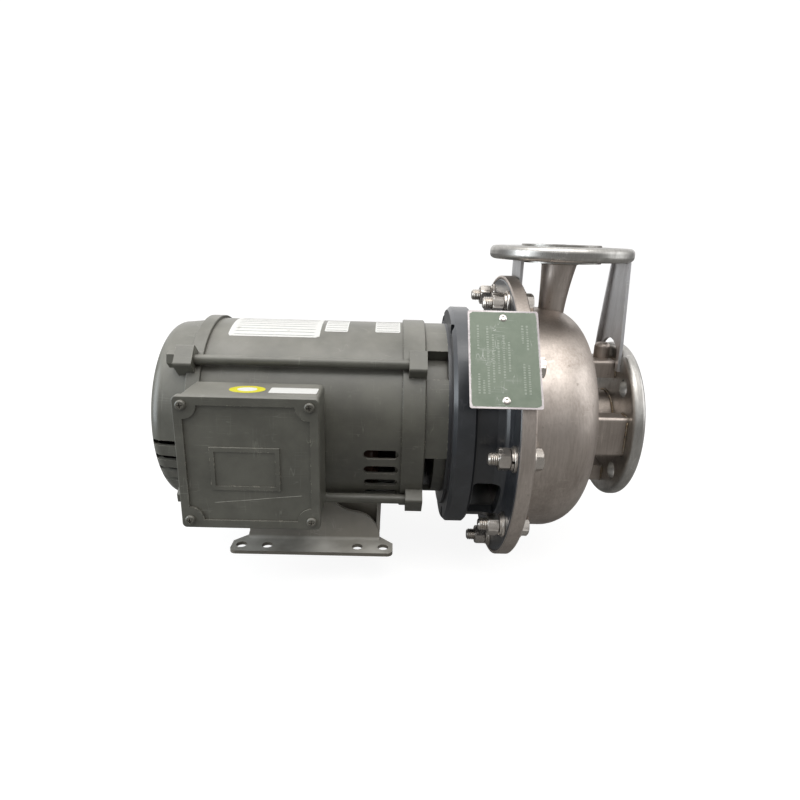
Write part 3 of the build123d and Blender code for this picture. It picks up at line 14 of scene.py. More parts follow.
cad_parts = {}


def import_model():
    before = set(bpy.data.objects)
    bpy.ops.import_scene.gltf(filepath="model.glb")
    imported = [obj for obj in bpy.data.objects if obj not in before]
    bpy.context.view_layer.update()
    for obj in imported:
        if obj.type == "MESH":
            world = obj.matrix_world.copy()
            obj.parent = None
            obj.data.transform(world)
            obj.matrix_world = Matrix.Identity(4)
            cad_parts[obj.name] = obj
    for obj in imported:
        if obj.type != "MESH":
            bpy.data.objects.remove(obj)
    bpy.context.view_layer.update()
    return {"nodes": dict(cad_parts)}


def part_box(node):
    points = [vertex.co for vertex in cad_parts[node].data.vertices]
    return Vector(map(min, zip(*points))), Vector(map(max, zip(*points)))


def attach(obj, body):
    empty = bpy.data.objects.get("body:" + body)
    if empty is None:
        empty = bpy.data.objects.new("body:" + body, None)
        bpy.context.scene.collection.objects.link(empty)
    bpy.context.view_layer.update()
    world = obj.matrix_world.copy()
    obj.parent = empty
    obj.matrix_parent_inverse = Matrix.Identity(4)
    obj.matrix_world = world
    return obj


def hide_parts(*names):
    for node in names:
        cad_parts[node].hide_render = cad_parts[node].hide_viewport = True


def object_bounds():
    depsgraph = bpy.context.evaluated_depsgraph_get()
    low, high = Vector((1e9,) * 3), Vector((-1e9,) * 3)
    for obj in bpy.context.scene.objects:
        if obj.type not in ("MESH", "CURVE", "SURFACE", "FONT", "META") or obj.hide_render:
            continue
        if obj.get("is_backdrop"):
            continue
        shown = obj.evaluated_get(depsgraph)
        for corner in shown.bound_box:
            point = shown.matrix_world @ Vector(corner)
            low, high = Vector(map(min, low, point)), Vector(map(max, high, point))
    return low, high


MM = 0.001
LOG = logging.getLogger("pump")
Socket = bpy.types.NodeSocket
Sockets = dict[str, Socket]
Value = float | Sequence[float] | Socket
Shade = tuple[float, float, float, float]
Outline = Callable[[float], tuple[float, float]]
Sheet = Callable[[float, float], Vector]
Bmesh = bmesh.types.BMesh
HOUSING = "housing"
ALONG, ACROSS, UP = Vector((1, 0, 0)), Vector((0, 1, 0)), Vector((0, 0, 1))
NUMBER = "NodeSocketFloat"
WHITE = (1.0, 1.0, 1.0, 1.0)


class Slot(Enum):
    """The record's material slots named for the new pieces."""

    STAINLESS = "stainless"
    BRIGHT = "bright_steel"
    PLATE = "name_plate"


class Grain(Enum):
    """Which way a metal has been brushed."""

    ALONG_X = (0.06, 1.0, 1.0)
    ALONG_Z = (1.0, 1.0, 0.05)
    ROUND_X = (1.0, 0.22, 0.22)
    NONE = (1.0, 1.0, 1.0)


def srgb(red: float, green: float, blue: float) -> Shade:
    """Linear colour of an 8-bit sRGB colour.

    Args:
        red, green, blue: Channels from 0 to 255.

    Returns:
        Linear red, green and blue, and an alpha of 1.
    """

    def channel(value: float) -> float:
        """Linear value of one channel."""
        share = value / 255
        return share / 12.92 if share <= 0.04045 else ((share + 0.055) / 1.055) ** 2.4

    return channel(red), channel(green), channel(blue), 1.0


def tint(shade: Shade, factor: float, lift: float = 0.0) -> Shade:
    """A colour made lighter or darker by a factor, with each channel kept to 1."""
    red, green, blue = (min(1.0, channel * factor + lift) for channel in shade[:3])
    return red, green, blue, 1.0


def turns(count: int) -> list[float]:
    """Angles of even steps round a circle, in radians."""
    return [2 * math.pi * k / count for k in range(count)]


def axes_at(first: Vector, second: Vector, third: Vector, spot: Sequence[float]) -> Matrix:
    """Matrix that turns X, Y and Z to three directions and moves the origin to a spot."""
    return Matrix((*zip(first, second, third, spot), (0, 0, 0, 1)))


class Graph:
    """Adds and links the nodes of one shader tree."""

    def __init__(self, tree: bpy.types.NodeTree) -> None:
        """Keeps the tree and finds the object's own coordinates when first asked for them."""
        self.tree = tree
        self._place: Socket | None = None

    def add(self, kind: str, inputs: dict[str | int, Value] | None = None,
            **settings: object) -> bpy.types.Node:
        """Adds a node.

        Args:
            kind: The node's type without the ShaderNode prefix.
            inputs: Socket names or numbers, with what each is set or linked to.
            settings: The node's own properties.

        Returns:
            The new node.
        """
        node = self.tree.nodes.new("ShaderNode" + kind)
        for name, setting in settings.items():
            setattr(node, name, setting)
        for name, value in (inputs or {}).items():
            self.feed(node.inputs[name], value)
        return node

    def feed(self, socket: Socket, value: Value) -> None:
        """Links a socket to another one, or sets it to a constant."""
        if isinstance(value, bpy.types.NodeSocket):
            self.tree.links.new(value, socket)
        else:
            socket.default_value = value

    def place(self) -> Socket:
        """The object's own coordinates, in metres."""
        if self._place is None:
            self._place = self.add("TexCoord").outputs["Object"]
        return self._place

    def math(self, operation: str, first: Value, second: Value = 0.0, clamp: bool = False) -> Socket:
        """Result of a Math node."""
        node = self.add("Math", {0: first, 1: second}, operation=operation, use_clamp=clamp)
        return node.outputs[0]

    def times(self, first: Value, second: Value, clamp: bool = False) -> Socket:
        """Product of two values."""
        return self.math("MULTIPLY", first, second, clamp)

    def plus(self, first: Value, second: Value, clamp: bool = False) -> Socket:
        """Sum of two values."""
        return self.math("ADD", first, second, clamp)

    def minus(self, first: Value, second: Value) -> Socket:
        """Difference of two values."""
        return self.math("SUBTRACT", first, second)

    def larger(self, first: Value, second: Value) -> Socket:
        """The larger of two values."""
        return self.math("MAXIMUM", first, second)

    def from_middle(self, value: Value) -> Socket:
        """How far a value lies from a half."""
        return self.math("ABSOLUTE", self.minus(value, 0.5))

    def part(self, vector: Socket, axis: str) -> Socket:
        """One component of a vector."""
        return self.add("SeparateXYZ", {0: vector}).outputs[axis]

    def stretch(self, scale: Value) -> Socket:
        """The object's coordinates, scaled along each axis."""
        return self.add("VectorMath", {0: self.place(), 1: scale}, operation="MULTIPLY").outputs[0]

    def noise(self, scale: Value, detail: float = 3.0, rough: float = 0.5,
              vector: Socket | None = None) -> Socket:
        """Fractal noise over the object, from 0 to 1."""
        where = vector or self.place()
        inputs = {"Vector": where, "Scale": scale, "Detail": detail, "Roughness": rough}
        return self.add("TexNoise", inputs).outputs[0]

    def ramp(self, value: Value, low: Value, high: Value, start: Value = 0.0, end: Value = 1.0) -> Socket:
        """Maps a value smoothly from low..high to start..end."""
        inputs = {0: value, 1: low, 2: high, 3: start, 4: end}
        return self.add("MapRange", inputs, interpolation_type="SMOOTHSTEP").outputs[0]

    def blend(self, share: Value, first: Value, second: Value) -> Socket:
        """Mixes two colours."""
        node = self.add("Mix", data_type="RGBA")
        self.feed(node.inputs[0], share)
        self.feed(node.inputs[6], first)
        self.feed(node.inputs[7], second)
        return node.outputs[2]

    def bump(self, height: Value, depth: float, normal: Socket | None = None) -> Socket:
        """Normal of a height in metres times depth."""
        inputs = {"Height": height, "Distance": depth, "Strength": 1.0}
        if normal is not None:
            inputs["Normal"] = normal
        return self.add("Bump", inputs).outputs[0]


class Effects:
    """Node groups for what several finishes share. Each is built once."""

    @staticmethod
    def _group(name: str, numbers: dict[str, float], outputs: Iterable[str],
               build: Callable[[Graph, Sockets, Sockets], None]) -> bpy.types.NodeTree:
        """Makes a group of number sockets, or finds it if it exists.

        Args:
            name: The group's name.
            numbers: Names and defaults of its inputs.
            outputs: Names of its outputs.
            build: Fills the group from its inputs and outputs.

        Returns:
            The group's node tree.
        """
        found = bpy.data.node_groups.get(name)
        if found:
            return found
        tree = bpy.data.node_groups.new(name, "ShaderNodeTree")
        for label, default in numbers.items():
            tree.interface.new_socket(label, in_out="INPUT", socket_type=NUMBER).default_value = default
        for label in outputs:
            tree.interface.new_socket(label, in_out="OUTPUT", socket_type=NUMBER)
        source = tree.nodes.new("NodeGroupInput")
        sink = tree.nodes.new("NodeGroupOutput")
        build(Graph(tree), {s.name: s for s in source.outputs if s.name},
              {s.name: s for s in sink.inputs if s.name})
        return tree

    @classmethod
    def edge_wear(cls) -> bpy.types.NodeTree:
        """Mask of rubbed and chipped edges, broken up by noise."""

        def build(g: Graph, given: Sockets, out: Sockets) -> None:
            """Compares the rounded normal with the true one."""
            soft = g.add("Bevel", {"Radius": given["Radius"]}, samples=6).outputs[0]
            true = g.add("NewGeometry").outputs["Normal"]
            turn = g.add("VectorMath", {0: soft, 1: true}, operation="DOT_PRODUCT").outputs["Value"]
            edge = g.ramp(turn, 0.985, 0.86)
            patchy = g.ramp(g.noise(given["Scale"], 5.0, 0.7), given["Threshold"],
                            g.plus(given["Threshold"], 0.08))
            g.feed(out["Mask"], g.times(edge, patchy, clamp=True))

        numbers = {"Radius": 0.0012, "Scale": 260.0, "Threshold": 0.5}
        return cls._group("Edge wear", numbers, ("Mask",), build)

    @classmethod
    def seam_dirt_and_shade(cls) -> bpy.types.NodeTree:
        """Mask of grime in corners and seams, which also paints shade where shade falls there."""

        def build(g: Graph, given: Sockets, out: Sockets) -> None:
            """Occlusion over a short distance, broken up by noise: painted shade in hollows, standing also
            for grime.
            """
            open_air = g.add("AmbientOcclusion", {"Distance": given["Reach"]}, samples=6).outputs["AO"]
            shade = g.ramp(open_air, 0.75, 0.25)
            smear = g.ramp(g.noise(70.0, 4.0, 0.6), 0.25, 0.7, 0.45, 1.0)
            g.feed(out["Mask"], g.times(shade, smear, clamp=True))

        return cls._group("Seam dirt", {"Reach": 0.006}, ("Mask",), build)

    @classmethod
    def dust_and_light(cls) -> bpy.types.NodeTree:
        """Mask of a dusty film on surfaces that face up; where its amount is high it also paints light on
        them.
        """

        def build(g: Graph, given: Sockets, out: Sockets) -> None:
            """Upward share of the normal, in drifts."""
            normal = g.add("NewGeometry").outputs["Normal"]
            upward = g.part(normal, "Z")
            drift = g.ramp(g.noise(20.0, 4.0, 0.55), 0.2, 0.8, 0.25, 1.0)
            lying = g.times(g.ramp(upward, 0.25, 1.0), drift)
            g.feed(out["Mask"], g.times(lying, given["Amount"], clamp=True))

        return cls._group("Dust", {"Amount": 0.4}, ("Mask",), build)

    @classmethod
    def brushing(cls) -> bpy.types.NodeTree:
        """Fine streaks of a brushed metal, and the cloudiness under them."""

        def build(g: Graph, given: Sockets, out: Sockets) -> None:
            """Two noises squeezed across the streaks."""
            scale = g.add("CombineXYZ", {0: given["X"], 1: given["Y"], 2: given["Z"]}).outputs[0]
            where = g.stretch(scale)
            fine = g.noise(given["Scale"], 4.0, 0.75, where)
            broad = g.noise(g.times(given["Scale"], 0.16), 3.0, 0.5, where)
            g.feed(out["Streaks"], g.plus(g.times(fine, 0.65), g.times(broad, 0.35)))
            g.feed(out["Clouds"], g.noise(24.0, 4.0, 0.55))

        numbers = {"X": 1.0, "Y": 1.0, "Z": 1.0, "Scale": 900.0}
        return cls._group("Brushing", numbers, ("Streaks", "Clouds"), build)

    @classmethod
    def casting(cls) -> bpy.types.NodeTree:
        """Height of a sand-cast or thickly painted skin, and its blotches."""

        def build(g: Graph, given: Sockets, out: Sockets) -> None:
            """Coarse lumps with fine grain on them."""
            lumps = g.noise(given["Lumps"], 4.0, 0.55)
            grain = g.noise(given["Grain"], 2.0, 0.5)
            g.feed(out["Height"], g.plus(g.times(lumps, 0.7), g.times(grain, 0.3)))
            g.feed(out["Blotches"], g.noise(31.0, 5.0, 0.6))

        return cls._group("Casting skin", {"Lumps": 180.0, "Grain": 900.0}, ("Height", "Blotches"), build)

    @classmethod
    def scratches(cls) -> bpy.types.NodeTree:
        """Mask of scattered hairline scratches."""

        def build(g: Graph, given: Sockets, out: Sockets) -> None:
            """Thin bands of two noises stretched across each other."""
            first = g.noise(given["Scale"], 1.0, 0.4, g.stretch((1.0, 0.3, 0.08)))
            second = g.noise(given["Scale"], 1.0, 0.4, g.stretch((0.1, 0.3, 1.3)))
            lines = [g.ramp(g.from_middle(band), 0.010, 0.003) for band in (first, second)]
            rare = g.ramp(g.noise(45.0, 3.0, 0.5), 0.52, 0.64)
            g.feed(out["Mask"], g.times(g.larger(lines[0], lines[1]), rare, clamp=True))

        return cls._group("Scratches", {"Scale": 160.0}, ("Mask",), build)


class Shader:
    """One material in the making: its graph and its Principled shader."""

    def __init__(self, name: str) -> None:
        """Starts a material whose shader isn't set up yet."""
        self.material = bpy.data.materials.new(name)
        self.material.use_nodes = True
        tree = self.material.node_tree
        tree.nodes.clear()
        self.graph = Graph(tree)
        self.shader = tree.nodes.new("ShaderNodeBsdfPrincipled")
        end = tree.nodes.new("ShaderNodeOutputMaterial")
        tree.links.new(self.shader.outputs[0], end.inputs[0])

    def group(self, tree: bpy.types.NodeTree, **numbers: Value) -> bpy.types.Node:
        """Places a shared effect with this material's own values."""
        node = self.graph.add("Group", node_tree=tree)
        for name, value in numbers.items():
            self.graph.feed(node.inputs[name.replace("_", " ")], value)
        return node

    def set(self, **values: Value) -> None:
        """Sets or links the shader's sockets; an underscore stands for a space."""
        for name, value in values.items():
            self.graph.feed(self.shader.inputs[name.replace("_", " ")], value)

    def mask(self, tree: bpy.types.NodeTree, **numbers: Value) -> Socket:
        """Mask that a shared effect puts out for this material's own values."""
        return self.group(tree, **numbers).outputs["Mask"]


@dataclass(frozen=True)
class Finish:
    """A named material."""

    name: str

    def dress(self, s: Shader, g: Graph) -> None:
        """Links the material's nodes, in each kind of finish its own."""
        raise NotImplementedError

    def build(self) -> bpy.types.Material:
        """Makes the material."""
        shader = Shader(self.name)
        self.dress(shader, shader.graph)
        return shader.material


@dataclass(frozen=True)
class Enamel(Finish):
    """Sprayed enamel on steel or iron, chipped at its edges."""

    paint: Shade
    bare: Shade = srgb(168, 163, 152)
    # Brown of grime in hollows and seams, which also paints shade there.
    dirt_and_shade: Shade = srgb(44, 34, 24)
    # Pale colour of dusty film and scratches; in the base and adapter finishes it also paints light on upward
    # faces.
    powder_and_light: Shade = srgb(186, 183, 174)
    roughness: float = 0.40
    skin_depth: float = 0.00005
    chip_threshold: float = 0.56
    dust_and_light: float = 0.42
    dirt_and_shade_share: float = 0.75
    shade_swing: float = 0.16
    lumps: float = 320.0
    coat: float = 0.25
    hairlines: float = 0.14
    long_scratch: tuple[float, float, float, float] | None = None
    scratch_width: float = 0.28 * MM

    def _scratch(self, g: Graph) -> Socket:
        """Mask of one long shallow scratch between two (x, z) places."""
        x0, z0, x1, z1 = self.long_scratch
        run = math.hypot(x1 - x0, z1 - z0)
        along, up = (x1 - x0) / run, (z1 - z0) / run
        place = g.add("SeparateXYZ", {0: g.place()})
        dx = g.minus(place.outputs["X"], x0)
        dz = g.minus(place.outputs["Z"], z0)
        travel = g.plus(g.times(dx, along), g.times(dz, up))
        off = g.minus(g.times(dz, along), g.times(dx, up))
        wander = g.times(g.minus(g.noise(30.0, 2.0), 0.5), 4 * self.scratch_width)
        near = g.ramp(g.math("ABSOLUTE", g.plus(off, wander)), self.scratch_width, self.scratch_width * 0.3)
        inside = g.times(g.ramp(travel, 0.0, 0.004), g.ramp(travel, run, run - 0.002))
        broken = g.ramp(g.noise(110.0, 3.0), 0.36, 0.5, 0.35, 1.0)
        return g.times(g.times(near, inside), broken)

    def dress(self, s: Shader, g: Graph) -> None:
        """Links the material's nodes."""
        skin = s.group(Effects.casting(), Lumps=self.lumps)
        wear = s.mask(Effects.edge_wear(), Threshold=self.chip_threshold)
        # Occlusion mask: grime in hollows, and painted shade there.
        dirt_and_shade = s.mask(Effects.seam_dirt_and_shade())
        dust_and_light = s.mask(Effects.dust_and_light(), Amount=self.dust_and_light)
        lines = s.mask(Effects.scratches())
        paint = g.blend(g.ramp(skin.outputs["Blotches"], 0.3, 0.7), tint(self.paint, 1 - self.shade_swing),
                        tint(self.paint, 1 + self.shade_swing))
        marks = g.times(lines, self.hairlines)
        if self.long_scratch:
            marks = g.larger(marks, self._scratch(g))
        paint = g.blend(marks, paint, self.powder_and_light)
        # Dusty film on upward faces, and painted light there where its amount is high.
        paint = g.blend(dust_and_light, paint, self.powder_and_light)
        # Painted shade in hollows and seams, laid on as brown grime.
        paint = g.blend(g.times(dirt_and_shade, self.dirt_and_shade_share), paint, self.dirt_and_shade)
        paint = g.blend(wear, paint, self.bare)
        rough = g.ramp(skin.outputs["Blotches"], 0.25, 0.75, self.roughness - 0.06, self.roughness + 0.08)
        rough = g.plus(rough, g.times(g.larger(dust_and_light, dirt_and_shade), 0.3), clamp=True)
        height = g.minus(skin.outputs["Height"], g.times(wear, 1.2))
        s.set(Base_Color=paint, Roughness=rough, Metallic=g.times(wear, 0.8),
              Normal=g.bump(height, self.skin_depth), Coat_Weight=self.coat, Coat_Roughness=0.25)


@dataclass(frozen=True)
class BrushedMetal(Finish):
    """Bare metal with a grain, stains and fingerprints, and painted shade in its hollows."""

    light: Shade
    dark: Shade
    grain: Grain = Grain.NONE
    streak_scale: float = 700.0
    roughness: float = 0.38
    swing: float = 0.10
    # Colour of stain spots, and of the painted shade in hollows.
    stain: Shade = srgb(92, 82, 66)
    stain_share: float = 0.35
    edge_light: float = 0.35
    anisotropy: float = 0.0
    depth: float = 0.000012
    dirt_and_shade_reach: float = 0.006

    def dress(self, s: Shader, g: Graph) -> None:
        """Links the material's nodes."""
        across = self.grain.value
        brush = s.group(Effects.brushing(), X=across[0], Y=across[1], Z=across[2], Scale=self.streak_scale)
        dirt_and_shade = s.mask(Effects.seam_dirt_and_shade(), Reach=self.dirt_and_shade_reach)
        wear = s.mask(Effects.edge_wear(), Radius=0.0008, Threshold=0.35)
        lines = s.mask(Effects.scratches(), Scale=220.0)
        tone = g.plus(g.times(brush.outputs["Streaks"], 0.55), g.times(brush.outputs["Clouds"], 0.45))
        colour = g.blend(g.ramp(tone, 0.32, 0.68), self.dark, self.light)
        spots = g.ramp(g.noise(130.0, 5.0, 0.7), 0.63, 0.72)
        # Real stain spots, and painted shade from the occlusion mask, both in the stain colour.
        stains_and_shade = g.larger(g.times(spots, self.stain_share), g.times(dirt_and_shade, 0.8))
        colour = g.blend(stains_and_shade, colour, self.stain)
        rubbed = tint(self.light, 1.25, 0.05)
        colour = g.blend(g.times(g.larger(wear, lines), self.edge_light), colour, rubbed)
        rough = g.ramp(tone, 0.3, 0.7, self.roughness + self.swing, self.roughness - self.swing)
        rough = g.plus(rough, g.times(stains_and_shade, 0.25), clamp=True)
        s.set(Base_Color=colour, Roughness=rough, Metallic=1.0, Anisotropic=self.anisotropy,
              Normal=g.bump(brush.outputs["Streaks"], self.depth))


@dataclass(frozen=True)
class Moulded(Finish):
    """Rubber, plastic, carbon or paper: a matte skin with a fine grain."""

    shade: Shade
    roughness: float = 0.7
    grain: float = 1100.0
    depth: float = 0.00002
    swing: float = 0.18

    def dress(self, s: Shader, g: Graph) -> None:
        """Links the material's nodes."""
        skin = s.group(Effects.casting(), Lumps=self.grain * 0.4, Grain=self.grain)
        dirt_and_shade = s.mask(Effects.seam_dirt_and_shade(), Reach=0.004)
        colour = g.blend(g.ramp(skin.outputs["Blotches"], 0.3, 0.7), tint(self.shade, 1 - self.swing),
                         tint(self.shade, 1 + self.swing))
        # Painted shade in hollows, laid on as dark brown grime.
        colour = g.blend(g.times(dirt_and_shade, 0.5), colour, srgb(36, 30, 24))
        rough = g.ramp(skin.outputs["Height"], 0.3, 0.7, self.roughness - 0.08, self.roughness + 0.08)
        s.set(Base_Color=colour, Roughness=rough, Normal=g.bump(skin.outputs["Height"], self.depth))


@dataclass(frozen=True)
class Laminations(Finish):
    """Edges of stacked electrical sheet, seen as fine rings across the shaft."""

    name: str = "lamination stack"
    pitch: float = 0.0005
    light: Shade = srgb(120, 118, 114)
    dark: Shade = srgb(58, 56, 54)

    def dress(self, s: Shader, g: Graph) -> None:
        """Links the material's nodes."""
        along = g.part(g.place(), "X")
        sheet = g.math("FRACT", g.math("DIVIDE", along, self.pitch))
        ridge = g.ramp(g.from_middle(sheet), 0.05, 0.45)
        rust = g.ramp(g.noise(60.0, 5.0, 0.65), 0.5, 0.7)
        colour = g.blend(ridge, self.light, self.dark)
        colour = g.blend(g.times(rust, 0.4), colour, srgb(96, 60, 36))
        s.set(Base_Color=colour, Metallic=0.8, Roughness=g.ramp(rust, 0.0, 1.0, 0.42, 0.7),
              Normal=g.bump(ridge, 0.00004))


@dataclass(frozen=True)
class VarnishedWire(Finish):
    """Coils of enamelled copper wire under varnish."""

    name: str = "varnished winding"
    wire: float = 0.0011
    copper: Shade = srgb(84, 52, 32)
    varnish: Shade = srgb(34, 22, 16)

    def dress(self, s: Shader, g: Graph) -> None:
        """Links the material's nodes."""
        wander = g.times(g.noise(60.0, 2.0, 0.5), 0.012)
        along = g.part(g.place(), "X")
        strand = g.math("FRACT", g.math("DIVIDE", g.plus(along, wander), self.wire))
        round_wire = g.ramp(g.from_middle(strand), 0.5, 0.0)
        colour = g.blend(round_wire, self.varnish, self.copper)
        s.set(Base_Color=colour, Metallic=0.4, Roughness=g.ramp(g.noise(200.0), 0.3, 0.7, 0.28, 0.5),
              Coat_Weight=0.7, Normal=g.bump(round_wire, 0.0002))


@dataclass(frozen=True)
class WeldedSteel(Finish):
    """A stainless weld bead with straw and blue heat tint."""

    name: str = "weld bead"

    def dress(self, s: Shader, g: Graph) -> None:
        """Links the material's nodes."""
        heat = g.noise(150.0, 3.0, 0.6)
        colour = g.blend(g.ramp(heat, 0.35, 0.6), srgb(150, 142, 132), srgb(138, 124, 104))
        colour = g.blend(g.ramp(heat, 0.6, 0.75), colour, srgb(104, 98, 94))
        dirt_and_shade = s.mask(Effects.seam_dirt_and_shade(), Reach=0.003)
        # Painted shade in hollows beside the bead, laid on as brown grime.
        colour = g.blend(g.times(dirt_and_shade, 0.6), colour, srgb(62, 54, 44))
        ripple = g.noise(900.0, 2.0, 0.5)
        s.set(Base_Color=colour, Metallic=0.95, Roughness=g.ramp(ripple, 0.3, 0.7, 0.3, 0.5),
              Normal=g.bump(ripple, 0.00008))


@dataclass(frozen=True)
class PlateField(Finish):
    """The printed field of the rating plate: grey-green, rubbed and faintly mottled."""

    name: str = "rating plate field"
    green: Shade = srgb(98, 108, 94)
    pale: Shade = srgb(115, 124, 110)

    def dress(self, s: Shader, g: Graph) -> None:
        """Links the material's nodes."""
        lines = s.mask(Effects.scratches(), Scale=260.0)
        wear = s.mask(Effects.edge_wear(), Radius=0.0006, Threshold=0.45)
        cloud = g.noise(55.0, 5.0, 0.6)
        colour = g.blend(g.ramp(cloud, 0.35, 0.65), self.green, self.pale)
        colour = g.blend(g.larger(g.times(lines, 0.5), wear), colour, srgb(205, 205, 202))
        s.set(Base_Color=colour, Metallic=0.35, Roughness=g.ramp(cloud, 0.3, 0.7, 0.38, 0.52),
              Normal=g.bump(g.noise(500.0), 0.00001))


@dataclass(frozen=True)
class PrintedLabel(Finish):
    """The plain face of a paper or film label, or a printed rule, a little rubbed."""

    face: Shade
    worn: Shade = srgb(176, 172, 160)

    def dress(self, s: Shader, g: Graph) -> None:
        """Links the material's nodes."""
        rub = g.ramp(g.noise(120.0, 5.0, 0.7), 0.58, 0.72)
        wear = s.mask(Effects.edge_wear(), Radius=0.0009, Threshold=0.5)
        colour = g.blend(g.larger(g.times(rub, 0.45), g.times(wear, 0.6)), self.face, self.worn)
        s.set(Base_Color=colour, Roughness=g.ramp(rub, 0.0, 1.0, 0.42, 0.65),
              Normal=g.bump(g.noise(700.0), 0.00001))


class Finishes:
    """Every finish on the pump, made once and handed out by name."""

    def __init__(self) -> None:
        """Builds the materials."""
        paint = srgb(92, 91, 83)
        warm, warm_dark = srgb(204, 194, 186), srgb(166, 156, 148)
        self.enamel = Enamel("motor enamel", paint).build()
        self.lid_enamel = Enamel("lid enamel", paint, long_scratch=(-0.076, 0.076, 0.001, 0.084),
                                 chip_threshold=0.54).build()
        self.screw_enamel = Enamel("painted screw", srgb(84, 82, 74), chip_threshold=0.46,
                                   roughness=0.34).build()
        # Lighter paint, a heavy dusty film and a pale film colour on upward faces: partly dusty wear, partly
        # painted light on the feet, which the lamps leave in shade.
        self.base_enamel = Enamel("base enamel", srgb(112, 107, 97), dust_and_light=1.1, chip_threshold=0.52,
                                  powder_and_light=srgb(208, 205, 197), dirt_and_shade_share=0.7).build()
        self.cast_enamel = Enamel("bell enamel", paint, lumps=150.0, skin_depth=0.00018,
                                  chip_threshold=0.53).build()
        # A pale bluish film on upward faces: partly a dusty film, partly painted sheen.
        self.black = Enamel("adapter black", srgb(46, 48, 52), bare=srgb(128, 122, 114),
                            powder_and_light=srgb(122, 124, 127), roughness=0.34, skin_depth=0.00016,
                            chip_threshold=0.60, dust_and_light=0.55, lumps=140.0, shade_swing=0.22, coat=0.5).build()
        self.casing = BrushedMetal("casing stainless", warm, warm_dark, Grain.ALONG_Z, 520.0, 0.47,
                                   anisotropy=0.25).build()
        self.cover = BrushedMetal("cover stainless", warm, warm_dark, Grain.ROUND_X, 500.0, 0.36).build()
        self.flange = BrushedMetal("flange stainless", srgb(200, 198, 194), srgb(156, 153, 148),
                                   Grain.ROUND_X, 420.0, 0.33, edge_light=0.5).build()
        self.strut = BrushedMetal("strut stainless", srgb(232, 232, 234), srgb(200, 199, 199), Grain.ALONG_Z,
                                  480.0, 0.42, stain_share=0.2).build()
        self.bright = BrushedMetal("plated fastener", srgb(222, 216, 209), srgb(184, 177, 169), Grain.NONE,
                                   600.0, 0.30, edge_light=0.5, stain_share=0.2, dirt_and_shade_reach=0.002).build()
        self.steel = BrushedMetal("machined steel", srgb(170, 170, 170), srgb(120, 119, 117), Grain.ROUND_X,
                                  900.0, 0.25, dirt_and_shade_reach=0.003).build()
        self.aluminium = BrushedMetal("cast aluminium", srgb(200, 200, 202), srgb(160, 160, 162), Grain.NONE,
                                      260.0, 0.5, depth=0.00006).build()
        self.plate_border = BrushedMetal("plate border", srgb(184, 178, 178), srgb(156, 150, 151),
                                         Grain.ALONG_X, 520.0, 0.55, stain_share=0.1).build()
        self.rubber = Moulded("black rubber", srgb(34, 34, 35), 0.72).build()
        self.gasket = Moulded("gasket sheet", srgb(52, 52, 50), 0.82, grain=1800.0).build()
        self.fan = Moulded("fan plastic", srgb(36, 37, 40), 0.5).build()
        self.carbon = Moulded("carbon seal", srgb(60, 60, 63), 0.3, depth=0.000004).build()
        self.insulation = Moulded("lead insulation", srgb(176, 168, 150), 0.55).build()
        self.laminations = Laminations().build()
        self.wire = VarnishedWire().build()
        self.weld = WeldedSteel().build()
        self.plate_field = PlateField().build()
        self.plate_print = PrintedLabel("plate print", srgb(150, 158, 144), srgb(112, 122, 107)).build()
        self.label = PrintedLabel("white label", srgb(232, 231, 227)).build()
        self.ink = PrintedLabel("label rules", srgb(72, 72, 70), srgb(150, 148, 142)).build()
        self.yellow = PrintedLabel("yellow label", srgb(222, 214, 40), srgb(190, 180, 90)).build()


